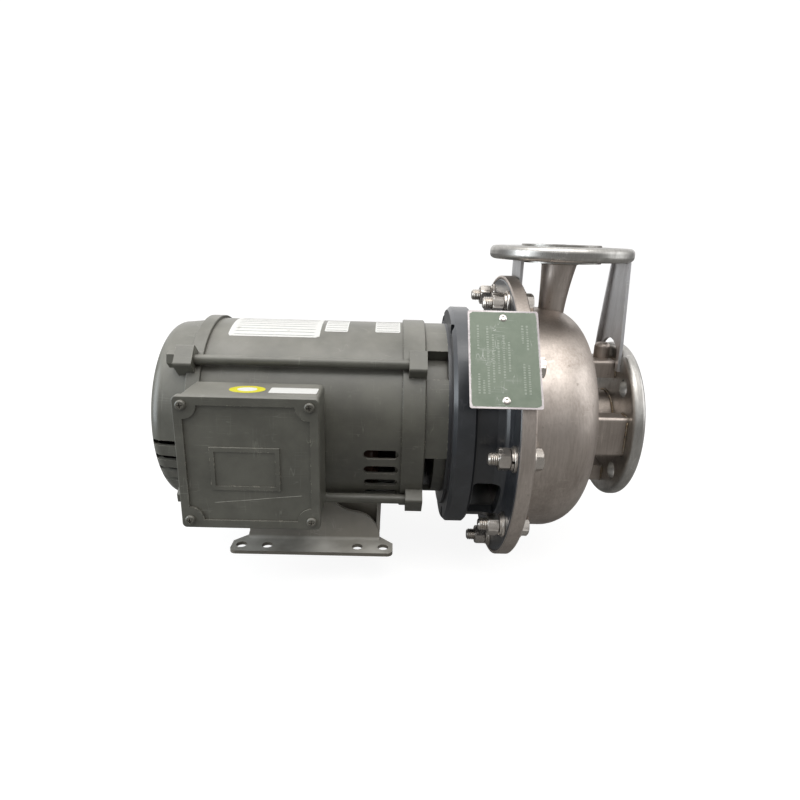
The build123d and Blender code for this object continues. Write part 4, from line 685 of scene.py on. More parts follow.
class MeshShop:
    """Makes mesh pieces in the shared frame."""

    weld_distance = 1e-7
    bead_sides = 10
    bead_step = 3
    bead_ripple = 0.12
    lathe_segments = 48
    hexagon_segments = 72
    thread_segments = 36
    thread_steps_per_turn = 8
    chamfer_slope = math.tan(math.radians(30))

    @staticmethod
    def link(name: str, mesh: Bmesh, material: bpy.types.Material) -> bpy.types.Object:
        """Puts a mesh with smooth faces in the scene as an object.

        Args:
            name: The object's name.
            mesh: Its faces, in metres; freed here.
            material: Its finish.

        Returns:
            The new object.
        """
        for face in mesh.faces:
            face.smooth = True
        data = bpy.data.meshes.new(name)
        mesh.to_mesh(data)
        mesh.free()
        data.materials.append(material)
        obj = bpy.data.objects.new(name, data)
        bpy.context.scene.collection.objects.link(obj)
        return obj

    @staticmethod
    def piece(name: str, mesh: Bmesh, material: bpy.types.Material, slot: Slot,
              smooth_angle: float = 40.0) -> bpy.types.Object:
        """Turns a mesh into a piece that rides on the housing.

        Args:
            name: The piece's name.
            mesh: Its faces, in metres; freed here.
            material: Its finish.
            slot: The record's slot for the piece; not used.
            smooth_angle: Edges sharper than this many degrees stay crisp.

        Returns:
            The new object.
        """
        bmesh.ops.remove_doubles(mesh, verts=mesh.verts, dist=MeshShop.weld_distance)
        bmesh.ops.recalc_face_normals(mesh, faces=mesh.faces)
        sharp = math.radians(smooth_angle)
        for edge in mesh.edges:
            edge.smooth = len(edge.link_faces) == 2 and edge.calc_face_angle(0.0) < sharp
        obj = MeshShop.link(name, mesh, material)
        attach(obj, HOUSING)
        LOG.info("%s: %d faces, %s", name, len(obj.data.polygons), material.name)
        return obj

    @staticmethod
    def sweep(mesh: Bmesh, rings: Sequence[Sequence[Vector]], close_rings: bool = False) -> None:
        """Skins a row of rings of points.

        Args:
            mesh: Where the faces go.
            rings: Each ring's points, the same number in each.
            close_rings: Whether the last ring joins the first; if not, the ends are capped.
        """
        made = [[mesh.verts.new(point) for point in ring] for ring in rings]
        count = len(made[0])
        spans = list(zip(made, made[1:])) + ([(made[-1], made[0])] if close_rings else [])
        for first, second in spans:
            for i in range(count):
                j = (i + 1) % count
                mesh.faces.new((first[i], first[j], second[j], second[i]))
        if not close_rings:
            mesh.faces.new(made[0][::-1])
            mesh.faces.new(made[-1])

    @classmethod
    def bead(cls, mesh: Bmesh, path: Sequence[Vector], radius: float, closed: bool = False) -> None:
        """Lays a rippled weld bead along a path.

        Args:
            mesh: Where the faces go.
            path: Points along the bead.
            radius: Mean radius of its section.
            closed: Whether the path is a loop; if not, the bead thins towards its ends.
        """
        rings = []
        count = len(path)
        for i, point in enumerate(path):
            before = path[(i - 1) % count] if closed or i else point
            after = path[(i + 1) % count] if closed or i < count - 1 else point
            along = (after - before).normalized()
            aside = along.cross(Vector((0.31, 0.17, 0.93))).normalized()
            over = along.cross(aside)
            swell = 1 + cls.bead_ripple * math.cos(2 * math.pi * i / cls.bead_step)
            taper = 1.0 if closed else min(1.0, 0.45 + 0.2 * min(i, count - 1 - i))
            reach = radius * swell * taper
            rings.append([point + (aside * math.cos(a) + over * math.sin(a)) * reach
                          for a in turns(cls.bead_sides)])
        cls.sweep(mesh, rings, close_rings=closed)

    @classmethod
    def lathe(cls, mesh: Bmesh, profile: Sequence[tuple[float, float]], matrix: Matrix) -> None:
        """Turns a closed (along, radius) profile about the matrix's own Z axis."""
        rings = [[matrix @ Vector((r * math.cos(turn), r * math.sin(turn), z)) for z, r in profile]
                 for turn in turns(cls.lathe_segments)]
        cls.sweep(mesh, rings, close_rings=True)

    @classmethod
    def hexagon(cls, mesh: Bmesh, matrix: Matrix, across: float, low: float, high: float,
                low_chamfer: bool = False, bore: float = 0.0) -> None:
        """Hexagon with a turned chamfer on its high end, as a nut or a bolt head has.

        Args:
            mesh: Where the faces go.
            matrix: Puts the hexagon's own Z axis along the bolt.
            across: Width across flats.
            low, high: Where it starts and ends along Z.
            low_chamfer: Whether the low end is chamfered too.
            bore: Radius of its hole, or 0 for none.
        """
        flat = across / 2
        washer = flat * 0.95
        drop = (flat / math.cos(math.pi / 6) - washer) * cls.chamfer_slope
        levels = [(high - drop, None), (high - drop * 0.33, None), (high, washer)]
        if low_chamfer:
            levels = [(low, washer), (low + drop * 0.33, None), (low + drop, None)] + levels
        else:
            levels = [(low, None)] + levels
        rings = []
        for z, cap in levels:
            ring = []
            limit = washer + (min(z - low, high - z) if low_chamfer else high - z) / cls.chamfer_slope
            for turn in turns(cls.hexagon_segments):
                inside = (turn + math.pi / 6) % (math.pi / 3) - math.pi / 6
                reach = min(flat / math.cos(inside), limit if cap is None else cap)
                ring.append(matrix @ Vector((reach * math.cos(turn), reach * math.sin(turn), z)))
            rings.append(ring)
        if bore:
            rings += [[matrix @ Vector((bore * math.cos(turn), bore * math.sin(turn), z))
                       for turn in turns(cls.hexagon_segments)] for z in (high, low)]
        cls.sweep(mesh, rings, close_rings=bool(bore))

    @classmethod
    def thread(cls, mesh: Bmesh, matrix: Matrix, root: float, crest: float, pitch: float, low: float,
               high: float, point: float) -> None:
        """Screw thread on a rod.

        Args:
            mesh: Where the faces go.
            matrix: Puts the thread's own Z axis along the rod.
            root, crest: Radii at the bottom and the top of the thread.
            pitch: Rise per turn.
            low, high: Where it starts and ends along Z.
            point: Length of the chamfered end at low.
        """
        steps = max(2, int((high - low) / pitch * cls.thread_steps_per_turn))
        rings = []
        for i in range(steps + 1):
            z = low + (high - low) * i / steps
            ring = []
            for k in range(cls.thread_segments):
                share = k / cls.thread_segments
                rise = 1 - abs(2 * ((z / pitch - share) % 1.0) - 1)
                radius = root + (crest - root) * min(1.0, rise * 1.15)
                if z - low < point:
                    radius = min(radius, root * 0.82 + (z - low) * 1.1)
                ring.append(matrix @ Vector((radius * math.cos(2 * math.pi * share),
                                             radius * math.sin(2 * math.pi * share), z)))
            rings.append(ring)
        cls.sweep(mesh, rings)

    @staticmethod
    def patch(mesh: Bmesh, where: Sheet, normal: Sheet, outline: Outline, thickness: float, count: int = 64,
              rings: int = 6) -> None:
        """A thin sheet laid on a surface.

        Args:
            mesh: Where the faces go.
            where: Point of the surface for two coordinates.
            normal: Outward direction there.
            outline: Edge of the sheet for a share of its way round.
            thickness: How far it stands off the surface.
            count: Points along its edge.
            rings: Rows of faces from its edge to its middle.
        """
        edge = [outline(i / count) for i in range(count)]
        mid = (sum(u for u, _ in edge) / count, sum(v for _, v in edge) / count)
        lower = [mesh.verts.new(where(u, v) - normal(u, v) * thickness * 0.2) for u, v in edge]
        before = [mesh.verts.new(where(u, v) + normal(u, v) * thickness) for u, v in edge]
        mesh.faces.new(lower[::-1])
        for i in range(count):
            j = (i + 1) % count
            mesh.faces.new((lower[i], lower[j], before[j], before[i]))
        for k in range(1, rings):
            share = 1 - k / rings
            spots = [(mid[0] + (u - mid[0]) * share, mid[1] + (v - mid[1]) * share) for u, v in edge]
            now = [mesh.verts.new(where(u, v) + normal(u, v) * thickness) for u, v in spots]
            for i in range(count):
                j = (i + 1) % count
                mesh.faces.new((before[i], before[j], now[j], now[i]))
            before = now
        middle = mesh.verts.new(where(*mid) + normal(*mid) * thickness)
        for i in range(count):
            mesh.faces.new((before[i], before[(i + 1) % count], middle))


def rounded_box(width: float, height: float, corner: float) -> Outline:
    """Outline of a rounded rectangle centred on 0, as a function of a share of its way round."""
    straight_w, straight_h = width - 2 * corner, height - 2 * corner
    quarter = math.pi / 2 * corner
    lengths = [straight_w, quarter, straight_h, quarter] * 2

    def at(share: float) -> tuple[float, float]:
        """Point of the outline."""
        left = share * sum(lengths)
        x, y, heading = -straight_w / 2, -height / 2, 0.0
        for i, length in enumerate(lengths):
            go = min(left, length)
            if i % 2 == 0:
                x, y = x + math.cos(heading) * go, y + math.sin(heading) * go
            else:
                turn = go / corner
                cx, cy = x - math.sin(heading) * corner, y + math.cos(heading) * corner
                x, y = cx + math.sin(heading + turn) * corner, cy - math.cos(heading + turn) * corner
                heading += turn
            left -= go
            if left <= 0:
                break
        return x, y

    return at


@dataclass(frozen=True)
class ShaftFrame:
    """Places things about the pump's shaft. Angles start at +Y and turn towards +Z."""

    height: float

    def at(self, x: float, radius: float, degrees: float) -> Vector:
        """Point at a station, a radius and an angle."""
        turn = math.radians(degrees)
        return Vector((x, radius * math.cos(turn), self.height + radius * math.sin(turn)))

    def outward(self, degrees: float) -> Vector:
        """Direction away from the shaft at an angle."""
        turn = math.radians(degrees)
        return Vector((0.0, math.cos(turn), math.sin(turn)))

    def bolt(self, x: float, radius: float, degrees: float) -> Matrix:
        """Matrix whose Z axis points along +X from that place, and whose X axis points outward."""
        out = self.outward(degrees)
        return axes_at(out, ALONG.cross(out), ALONG, self.at(x, radius, degrees))


@dataclass
class Dressing:
    """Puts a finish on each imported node."""

    finishes: Finishes
    nodes: dict[str, bpy.types.Object]

    def table(self) -> dict[str, bpy.types.Material]:
        """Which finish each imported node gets."""
        f = self.finishes
        groups = (
            (f.enamel, "motor_frame through_bolts junction_box_body"),
            (f.lid_enamel, "junction_box_lid"),
            (f.screw_enamel, "junction_box_screws"),
            (f.cast_enamel, "rear_end_bell front_end_bell"),
            (f.base_enamel, "motor_base"),
            (f.black, "adapter"),
            (f.casing, "pump_casing discharge_nozzle suction_stays drain_plug gauge_port_plug"),
            (f.cover, "casing_cover wear_ring impeller impeller_washer impeller_screw shaft_sleeve"
                      " seal_rotary_head"),
            (f.flange, "suction_flange discharge_flange"),
            (f.strut, "discharge_strut_motor_side discharge_strut_suction_side nameplate_bracket"),
            (f.bright, "box_mounting_screws ground_screw adapter_cap_screws casing_bolts casing_nuts"
                       " casing_washers nameplate_rivets"),
            (f.steel, "motor_shaft front_bearing_outer_ring front_bearing_inner_ring front_bearing_balls"
                      " rear_bearing_outer_ring rear_bearing_inner_ring rear_bearing_balls"
                      " bearing_preload_washer impeller_key"),
            (f.aluminium, "rotor_end_rings"),
            (f.plate_border, "nameplate"),
            (f.rubber, "lead_grommet casing_o_ring seal_seat_cup seal_bellows slinger"),
            (f.gasket, "junction_box_gasket"),
            (f.fan, "cooling_fan"),
            (f.carbon, "seal_seat"),
            (f.insulation, "motor_leads"),
            (f.laminations, "stator_core rotor_core"),
            (f.wire, "stator_windings"),
        )
        return {name: material for material, names in groups for name in names.split()}

    def apply(self) -> None:
        """Assigns the finishes."""
        table = self.table()
        for name, obj in self.nodes.items():
            obj.data.materials.clear()
            obj.data.materials.append(table[name])
            LOG.info("%s: %s", name, table[name].name)


@dataclass
class FlangeJoint:
    """The ring of bolts that holds the casing to the adapter."""

    shaft: ShaftFrame
    finishes: Finishes
    count: int = 10
    circle: float = 131 * MM
    across: float = 18 * MM
    bolt_radius: float = 6 * MM
    pitch: float = 1.75 * MM
    thread_depth: float = 0.95 * MM
    thread_point: float = 1.2 * MM
    thread_in_head: float = 0.2 * MM
    nut_clearance: float = 0.1 * MM
    washer: float = 2.5 * MM
    washer_radius: float = 12 * MM
    washer_clearance: float = 0.3 * MM
    washer_ease: float = 0.3 * MM
    spring: float = 2.5 * MM
    spring_clearance: float = 0.2 * MM
    spring_gap: float = 7.0
    spring_steps: int = 40
    spring_wire_share: float = 0.8
    bracket_bolt: int = 4
    sway: float = 6.0

    def build(self) -> None:
        """Makes bolts, nuts, washers and spring washers in place of the plain ones."""
        tail, head_end = (corner.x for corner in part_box("casing_bolts"))
        nut_low, nut_high = (corner.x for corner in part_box("casing_nuts"))
        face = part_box("casing_washers")[1].x
        bolts, nuts, washers = bmesh.new(), bmesh.new(), bmesh.new()
        swaying = random.Random(7)
        for i in range(self.count):
            matrix = self.shaft.bolt(0.0, self.circle, 360 / self.count * i)
            twist = self._twisted(matrix, swaying)
            MeshShop.hexagon(bolts, twist, self.across, face, head_end)
            MeshShop.thread(bolts, matrix, self.bolt_radius - self.thread_depth, self.bolt_radius, self.pitch,
                            tail, face + self.thread_in_head, self.thread_point)
            twist = self._twisted(matrix, swaying)
            MeshShop.hexagon(nuts, twist, self.across, nut_low, nut_high, True,
                             self.bolt_radius + self.nut_clearance)
            self._spring(washers, twist, nut_high, nut_high + self.spring)
            self._flat(washers, matrix, face - self.washer, face)
            if i != self.bracket_bolt:
                self._flat(washers, matrix, nut_high + self.spring, nut_high + self.spring + self.washer)
        for mesh, node in ((bolts, "casing_bolts"), (nuts, "casing_nuts"), (washers, "casing_washers")):
            piece = MeshShop.piece(f"{node}_cut", mesh, self.finishes.bright, Slot.BRIGHT, 28)
            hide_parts(node)

    def _twisted(self, matrix: Matrix, swaying: random.Random) -> Matrix:
        """The bolt's place, turned a little at random about its own axis."""
        return matrix @ Matrix.Rotation(math.radians(swaying.uniform(-self.sway, self.sway)), 4, "Z")

    def _flat(self, mesh: Bmesh, matrix: Matrix, low: float, high: float) -> None:
        """One flat washer with eased edges between two stations."""
        inner, outer, ease = self.bolt_radius + self.washer_clearance, self.washer_radius, self.washer_ease
        profile = [(low, inner), (low, outer - ease), (low + ease, outer), (high - ease, outer),
                   (high, outer - ease), (high, inner)]
        MeshShop.lathe(mesh, profile, matrix)

    def _spring(self, mesh: Bmesh, matrix: Matrix, low: float, high: float) -> None:
        """One split spring washer between two stations."""
        inner, outer = self.bolt_radius + self.spring_clearance, self.across * 0.56
        thick = (high - low) * self.spring_wire_share
        rings = []
        for k in range(self.spring_steps + 1):
            turn = math.radians(self.spring_gap + (360 - 2 * self.spring_gap) * k / self.spring_steps)
            lift = (high - low - thick) * k / self.spring_steps
            rings.append([matrix @ Vector((r * math.cos(turn), r * math.sin(turn), low + lift + z))
                          for r, z in ((inner, 0), (outer, 0), (outer, thick), (inner, thick))])
        MeshShop.sweep(mesh, rings)


@dataclass
class Welds:
    """Weld beads on the stainless pump."""

    shaft: ShaftFrame
    finishes: Finishes
    bead: float = 1.3 * MM
    flange_bead: float = 0.9 * MM
    strut_bead: float = 1.1 * MM
    shoulder_bead: float = 1.2 * MM
    spacing: float = 0.55 * MM
    sunk: float = 0.2 * MM
    nozzle_radius: float = 17.9 * MM
    nozzle_collar: float = 40.2 * MM
    collar_rise: float = 2.4 * MM
    neck_radius: float = 30.6 * MM
    strut_rise: float = 2.5 * MM
    motor_strut_half: float = 18 * MM
    suction_strut_half: float = 17 * MM
    suction_strut_back: float = 3 * MM
    shoulder_radius: float = 120.6 * MM
    shoulder_gap: float = 0.3 * MM
    shoulder_span: float = 8.4
    stay_half: float = 16 * MM
    stay_side: float = 20 * MM
    stay_ends: tuple[float, float] = (17 * MM, 3 * MM)

    def build(self) -> None:
        """Lays each group of beads."""
        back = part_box("suction_flange")[0].x
        for name, lay in (("discharge_welds", self._nozzle), ("suction_weld", self._suction),
                          ("strut_welds", self._struts), ("stay_welds", self._stays)):
            mesh = bmesh.new()
            lay(mesh, back)
            MeshShop.piece(name, mesh, self.finishes.weld, Slot.STAINLESS)

    def _ring(self, centre: Vector, across: Vector, other: Vector, radius: float) -> list[Vector]:
        """Evenly spaced points of a circle."""
        count = int(2 * math.pi * radius / self.spacing) // 3 * 3
        return [centre + across * math.cos(turn) * radius + other * math.sin(turn) * radius
                for turn in turns(count)]

    def _line(self, first: Vector, last: Vector) -> list[Vector]:
        """Evenly spaced points of a straight run."""
        steps = max(6, int((last - first).length / self.spacing))
        return [first.lerp(last, k / steps) for k in range(steps + 1)]

    def _across(self, x: float, half: float, z: float) -> list[Vector]:
        """Points of a run along Y, half its length to each side."""
        return self._line(Vector((x, -half, z)), Vector((x, half, z)))

    def _nozzle(self, mesh: Bmesh, _back: float) -> None:
        """Collar round the nozzle and bead round the hub, both under the discharge flange."""
        low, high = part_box("discharge_flange")
        x = ((low + high) / 2).x
        MeshShop.bead(mesh, self._ring(Vector((x, 0, low.z)) + UP * -self.sunk, ALONG, ACROSS,
                                       self.nozzle_radius), self.bead, True)
        MeshShop.bead(mesh, self._ring(Vector((x, 0, low.z + self.collar_rise)), ALONG, ACROSS,
                                       self.nozzle_collar), self.flange_bead, True)

    def _suction(self, mesh: Bmesh, back: float) -> None:
        """Bead between the suction neck and its flange."""
        centre = Vector((back - self.sunk, 0, self.shaft.height))
        MeshShop.bead(mesh, self._ring(centre, ACROSS, UP, self.neck_radius), self.bead, True)

    def _struts(self, mesh: Bmesh, back: float) -> None:
        """Beads at both ends of the struts that hold the discharge flange."""
        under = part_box("discharge_flange")[0].z + self.strut_rise
        low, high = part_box("discharge_strut_motor_side")
        for x in (low.x, high.x):
            MeshShop.bead(mesh, self._across(x, self.motor_strut_half, under), self.strut_bead)
        tenths = int(self.shoulder_span * 10)
        arc = [self.shaft.at(high.x + self.shoulder_gap, self.shoulder_radius, 90 + a / 10)
               for a in range(-tenths, tenths + 1)]
        MeshShop.bead(mesh, arc, self.shoulder_bead)
        edge = back - self.suction_strut_back
        MeshShop.bead(mesh, self._across(edge, self.suction_strut_half, under), self.strut_bead)

    def _stays(self, mesh: Bmesh, back: float) -> None:
        """Beads where the four stays meet the back of the suction flange."""
        hub = Vector((back - self.sunk, 0, self.shaft.height))
        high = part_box("suction_stays")[1].z - self.shaft.height
        for angle in (0, 90, 180, 270):
            out = self.shaft.outward(angle)
            side = ALONG.cross(out)
            rim, half = hub + out * high, side * self.stay_half
            MeshShop.bead(mesh, self._line(rim - half, rim + half), self.bead)
            for edge in (side * -self.stay_side, side * self.stay_side):
                first, last = (hub + out * (high - end) + edge for end in self.stay_ends)
                MeshShop.bead(mesh, self._line(first, last), self.bead)


@dataclass
class MotorLabels:
    """Blank labels on top of the motor and on its terminal box."""

    shaft: ShaftFrame
    finishes: Finishes
    thickness: float = 0.15 * MM
    frame_radius: float = 97 * MM
    corner: float = 1.5 * MM
    row_height: float = 5.5 * MM
    rule_height: float = 0.5 * MM
    rule_corner: float = 0.2 * MM
    rule_share: float = 0.9
    rule_lift: float = 0.05 * MM
    oval: tuple[float, float] = (31 * MM, 22 * MM)
    oval_middle: tuple[float, float] = (17 * MM, 12 * MM)
    oval_lift: float = 0.06 * MM
    oval_from_left: float = 53 * MM
    strip: tuple[float, float, float] = (41 * MM, 17 * MM, 1 * MM)
    strip_offset: tuple[float, float] = (40 * MM, -1 * MM)
    spans: Sequence[tuple[float, float, float, float]] = ((-86, 3, 64, 96), (7, 30, 71, 92),
                                                          (57, 82, 71.5, 92))

    def build(self) -> None:
        """Lays the labels, with plain ruled lines for what would be printed."""
        for number, (x0, x1, low, high) in enumerate(self.spans, 1):
            self._frame_label(number, x0 * MM, x1 * MM, low, high)
        self._box_labels()

    def _frame_label(self, number: int, x0: float, x1: float, low: float, high: float) -> None:
        """One label bent over the motor frame between two stations and two angles above the near side."""
        radius = self.frame_radius
        height = math.radians(high - low) * radius
        middle = (x0 + x1) / 2

        def angle(v: float) -> float:
            """Angle about the shaft for a height on the label."""
            return 180 - (low + high) / 2 - math.degrees(v / radius)

        def where(u: float, v: float) -> Vector:
            """Point of the frame's skin."""
            return self.shaft.at(middle + u, radius, angle(v))

        def normal(_u: float, v: float) -> Vector:
            """Outward direction there."""
            return self.shaft.outward(angle(v))

        mesh = bmesh.new()
        MeshShop.patch(mesh, where, normal, rounded_box(x1 - x0, height, self.corner), self.thickness)
        MeshShop.piece(f"motor_label_{number}", mesh, self.finishes.label, Slot.PLATE)
        mesh = bmesh.new()
        rule = rounded_box((x1 - x0) * self.rule_share, self.rule_height, self.rule_corner)
        rows = max(2, int(height / self.row_height))
        for row in range(rows):
            up = height * ((row + 0.5) / rows - 0.5)
            MeshShop.patch(mesh, lambda u, v, up=up: where(u, v + up), lambda u, v, up=up: normal(u, v + up),
                           rule, self.thickness + self.rule_lift, 48, 2)
        MeshShop.piece(f"motor_label_rules_{number}", mesh, self.finishes.ink, Slot.PLATE)

    def _box_labels(self) -> None:
        """A yellow oval with a white middle and a white strip, on top of the terminal box."""
        low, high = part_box("junction_box_body")
        x, y = low.x + self.oval_from_left, (low.y + high.y) / 2

        def lay(mesh: Bmesh, x: float, y: float, outline: Outline, lift: float) -> None:
            """Lays one flat label on the box."""
            MeshShop.patch(mesh, lambda u, v: Vector((x + u, y + v, high.z)), lambda _u, _v: UP, outline,
                           lift)

        def ellipse(width: float, depth: float) -> Outline:
            """Outline of an ellipse."""
            return lambda share: (width / 2 * math.cos(2 * math.pi * share),
                                  depth / 2 * math.sin(2 * math.pi * share))

        mesh = bmesh.new()
        lay(mesh, x, y, ellipse(*self.oval), self.thickness)
        MeshShop.piece("box_oval_label", mesh, self.finishes.yellow, Slot.PLATE)
        mesh = bmesh.new()
        lay(mesh, x, y, ellipse(*self.oval_middle), self.thickness + self.oval_lift)
        lay(mesh, x + self.strip_offset[0], y + self.strip_offset[1], rounded_box(*self.strip),
            self.thickness)
        MeshShop.piece("box_white_labels", mesh, self.finishes.label, Slot.PLATE)


@dataclass
class RatingPlate:
    """The blank rating plate on its bracket. Each rule is (along, low, high) in millimetres."""

    shaft: ShaftFrame
    finishes: Finishes
    angle: float = 36.0
    face: float = 154 * MM
    width: float = 60.7 * MM
    height: float = 89.5 * MM
    border: float = 1.5 * MM
    field_lift: float = 0.12 * MM
    field_corner: float = 1.2 * MM
    rivet_inset: float = 7 * MM
    drop: float = 2.3 * MM
    rule_width: float = 1.8 * MM
    rule_lift: float = 0.17 * MM
    rule_corner: float = 0.2 * MM
    dash: tuple[float, float] = (0.8 * MM, 2.0 * MM)
    dash_gap: float = 0.9 * MM
    rules: Sequence[tuple[float, float, float]] = (
        (-22, -32, -14), (-22, 8, 31), (-18, -32, -20), (-14, -32, 31), (-9.5, -22, 22), (-5, -14, 18),
        (-0.5, -18, 22), (4, -12, 16), (16, -32, -4), (16, 14, 31), (20, -32, -6), (20, 8, 31))
    rivet: Sequence[tuple[float, float]] = (
        (0.0, 0.0001), (0.0, 3.4), (0.35, 3.45), (0.8, 3.15), (1.2, 2.5), (1.35, 1.75), (1.3, 1.35),
        (0.7, 1.25), (0.5, 0.9), (0.45, 0.0001))

    def __post_init__(self) -> None:
        """Finds the plate's own axes."""
        turn = math.radians(self.angle)
        self.out = Vector((0, -math.cos(turn), math.sin(turn)))
        self.up = Vector((0, math.sin(turn), math.cos(turn)))
        low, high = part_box("nameplate")
        self.centre = Vector(((low.x + high.x) / 2, 0, self.shaft.height)) + self.out * self.face
        self.centre -= self.up * self.drop

    def _on(self, u: float, v: float) -> Vector:
        """Point of the plate's face, u along the shaft and v up the plate."""
        return self.centre + ALONG * u + self.up * v

    def _panel(self, mesh: Bmesh, spot: tuple[float, float], size: tuple[float, float], lift: float,
               corner: float) -> None:
        """A thin rounded panel on the plate."""
        MeshShop.patch(mesh, lambda u, v: self._on(spot[0] + u, spot[1] + v), lambda _u, _v: self.out,
                       rounded_box(*size, corner), lift, 64, 5)

    def build(self) -> None:
        """Makes the field, its plain rules and the blind rivets."""
        mesh = bmesh.new()
        self._panel(mesh, (0, 0), (self.width - 2 * self.border, self.height - 2 * self.border),
                    self.field_lift, self.field_corner)
        MeshShop.piece("plate_field", mesh, self.finishes.plate_field, Slot.PLATE)
        mesh = bmesh.new()
        lengths = random.Random(11)
        for x, low, high in self.rules:
            start = low * MM
            while start < high * MM - self.dash[0]:
                length = min(lengths.uniform(*self.dash), high * MM - start)
                self._panel(mesh, (x * MM, start + length / 2), (self.rule_width, length), self.rule_lift,
                            self.rule_corner)
                start += length + self.dash_gap
        MeshShop.piece("plate_rules", mesh, self.finishes.plate_print, Slot.PLATE)
        mesh = bmesh.new()
        profile = [(z * MM, r * MM) for z, r in self.rivet]
        for sign in (-1, 1):
            spot = self._on(0, sign * (self.height / 2 - self.rivet_inset))
            MeshShop.lathe(mesh, profile, axes_at(ALONG, self.out.cross(ALONG), self.out, spot))
        rivets = MeshShop.piece("plate_blind_rivets", mesh, self.finishes.bright, Slot.BRIGHT)
        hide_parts("nameplate_rivets")


@dataclass(frozen=True)
class Lamp:
    """One area lamp that faces the pump."""

    name: str
    spot: tuple[float, float, float]
    size: tuple[float, float]
    power: float
    colour: tuple[float, float, float] = (1.0, 1.0, 1.0)


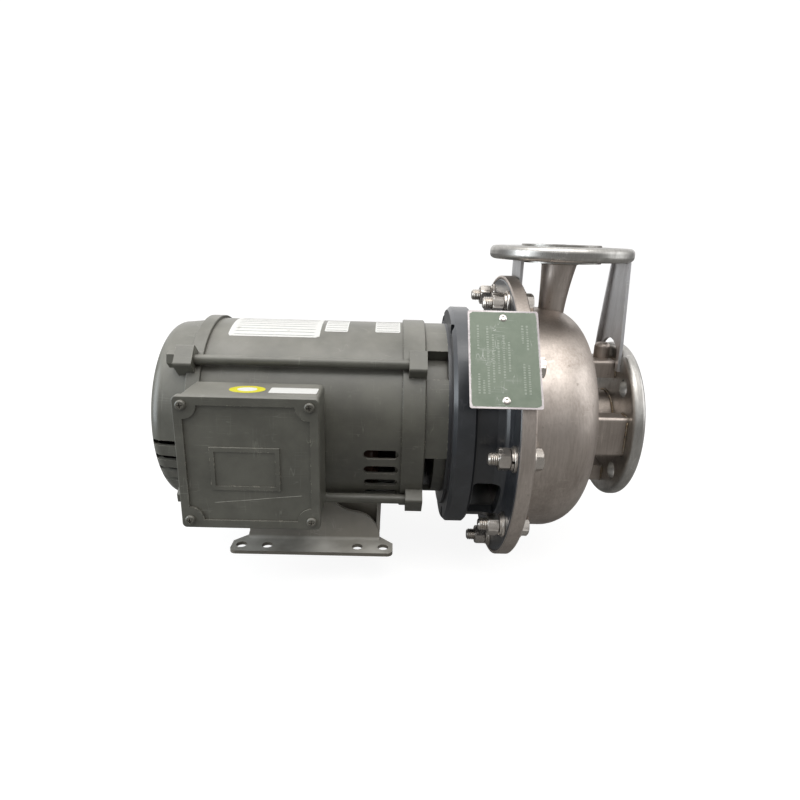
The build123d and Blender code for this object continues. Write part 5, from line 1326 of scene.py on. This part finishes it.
@dataclass
class Studio:
    """Floor, backdrop, lamps and camera."""

    floor_drop: float = 0.4 * MM
    floor_front: float = -3.5
    floor_depth: float = 4.0
    floor_half_width: float = 4.0
    backdrop_rise: float = 3.0
    backdrop_bend: float = 1.2
    camera_spot: tuple[float, float, float] = (0.0741, -0.596217, 0.299865)
    yaw: float = 0.013
    pitch: float = 0.305
    roll: float = -0.028
    sensor: float = 36.0
    focal_share: float = 0.71439125
    shift: tuple[float, float] = (0.0031, 0.0176)
    clip: tuple[float, float] = (0.01, 50.0)
    aim: tuple[float, float, float] = (0.08, 0.0, 0.12)
    paper_glow: float = 0.90
    backdrop_lit_from: float = 0.35
    floor_share: float = 0.06
    sky_low: float = 0.10
    sky_high: float = 0.58
    mirror_boost: float = 1.0
    lamps: Sequence[Lamp] = (
        Lamp("overhead", (-0.05, -0.38, 1.40), (1.7, 1.0), 13.0, (1.0, 0.99, 0.97)),
        Lamp("left window", (-1.25, -0.42, 0.42), (0.9, 1.0), 13.0, (0.87, 0.94, 1.0)),
        Lamp("right window", (1.45, -0.20, 0.55), (1.0, 0.9), 4.6, (0.96, 0.98, 1.0)),
    )

    def build(self) -> None:
        """Sets the scene."""
        self._floor()
        self._world()
        self._lamps()
        self._camera()
        bpy.context.scene.view_settings.view_transform = "Standard"

    @staticmethod
    def _rays(graph: Graph, *names: str) -> Socket:
        """1 for rays of any of the named kinds.

        Args:
            graph: The tree of the material or the world.
            names: Outputs of the Light Path node.

        Returns:
            The socket of that mask.
        """
        path = graph.add("LightPath")
        seen = path.outputs[names[0]]
        for name in names[1:]:
            seen = graph.larger(seen, path.outputs[name])
        return seen

    def _floor(self) -> None:
        """A plain floor just under the lowest point, curved up behind."""
        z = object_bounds()[0][2] - self.floor_drop
        mesh = bmesh.new()
        depth, bend = self.floor_depth, self.backdrop_bend
        line = [(self.floor_front, z)]
        line += [(depth - bend + bend * math.sin(a), z + bend - bend * math.cos(a))
                 for a in (math.pi / 2 * k / 16 for k in range(17))]
        line.append((depth, z + self.backdrop_rise))
        left, right = ([mesh.verts.new((x, y, height)) for y, height in line]
                       for x in (-self.floor_half_width, self.floor_half_width))
        for k in range(len(line) - 1):
            mesh.faces.new((left[k], right[k], right[k + 1], left[k + 1]))
        MeshShop.link("floor", mesh, self._floor_material())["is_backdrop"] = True

    def _floor_material(self) -> bpy.types.Material:
        """Plain paper that the camera sees near white, and pure white higher up."""
        s = Shader("studio paper")
        g = s.graph
        fibre = g.noise(40.0, 4.0, 0.6)
        s.set(Base_Color=g.blend(fibre, srgb(128, 127, 125), srgb(134, 133, 131)), Roughness=0.95)
        height = g.part(g.add("NewGeometry").outputs["Position"], "Z")
        mirrored = g.ramp(height, 0.0, self.backdrop_lit_from, self.floor_share, 1.0)
        seen = g.larger(self._rays(g, "Is Camera Ray", "Is Transmission Ray"),
                        g.times(self._rays(g, "Is Glossy Ray"), mirrored))
        strength = g.times(seen, g.ramp(height, 0.0, self.backdrop_lit_from, self.paper_glow, 1.0))
        glow = g.add("Emission", {"Color": WHITE, "Strength": strength})
        both = g.add("AddShader", {0: s.shader.outputs[0], 1: glow.outputs[0]})
        end = next(n for n in s.material.node_tree.nodes if n.type == "OUTPUT_MATERIAL")
        g.feed(end.inputs[0], both.outputs[0])
        return s.material

    def _world(self) -> None:
        """A sky that is bright overhead and dim near the horizon, and white to the camera."""
        world = bpy.data.worlds.new("studio")
        world.use_nodes = True
        bpy.context.scene.world = world
        tree = world.node_tree
        tree.nodes.clear()
        g = Graph(tree)
        height = g.part(g.add("TexCoord").outputs["Generated"], "Z")
        sky = g.ramp(height, 0.0, 0.75, self.sky_low, self.sky_high)
        mirrored = g.plus(1.0, g.times(self._rays(g, "Is Glossy Ray"), self.mirror_boost))
        seen = self._rays(g, "Is Camera Ray", "Is Transmission Ray")
        strength = g.larger(g.times(sky, mirrored), seen)
        dome = g.add("Background", {"Color": WHITE, "Strength": strength})
        end = tree.nodes.new("ShaderNodeOutputWorld")
        tree.links.new(dome.outputs[0], end.inputs[0])

    def _lamps(self) -> None:
        """Broad lamps overhead and at both ends, as tall windows would be."""
        target = Vector(self.aim)
        for lamp in self.lamps:
            data = bpy.data.lights.new(lamp.name, "AREA")
            data.shape = "RECTANGLE"
            data.size, data.size_y = lamp.size
            data.energy = lamp.power
            data.color = lamp.colour
            obj = bpy.data.objects.new(lamp.name, data)
            obj.location = lamp.spot
            obj.rotation_euler = (target - Vector(lamp.spot)).to_track_quat("-Z", "Y").to_euler()
            bpy.context.scene.collection.objects.link(obj)

    def _camera(self) -> None:
        """The camera, before the near side and a little above the pump."""
        ahead = Vector((math.sin(self.yaw) * math.cos(self.pitch), math.cos(self.yaw) * math.cos(self.pitch),
                        -math.sin(self.pitch)))
        right = Vector((math.cos(self.yaw), -math.sin(self.yaw), 0))
        down = ahead.cross(right)
        cr, sr = math.cos(self.roll), math.sin(self.roll)
        right, down = right * cr + down * sr, down * cr - right * sr
        data = bpy.data.cameras.new("camera")
        data.sensor_width = self.sensor
        data.lens = self.sensor * self.focal_share
        data.shift_x, data.shift_y = self.shift
        data.clip_start, data.clip_end = self.clip
        camera = bpy.data.objects.new("camera", data)
        camera.matrix_world = axes_at(right, -down, -ahead, self.camera_spot)
        bpy.context.scene.collection.objects.link(camera)
        bpy.context.scene.camera = camera


def main() -> None:
    """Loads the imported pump, dresses it, adds its fine pieces and lights it."""
    logging.basicConfig(level=logging.INFO, format="%(message)s")
    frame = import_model()
    low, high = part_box("motor_shaft")
    shaft = ShaftFrame((low.z + high.z) / 2)
    finishes = Finishes()
    Studio().build()
    Dressing(finishes, frame["nodes"]).apply()
    FlangeJoint(shaft, finishes).build()
    Welds(shaft, finishes).build()
    MotorLabels(shaft, finishes).build()
    RatingPlate(shaft, finishes).build()


if __name__ == "__main__":
    main()
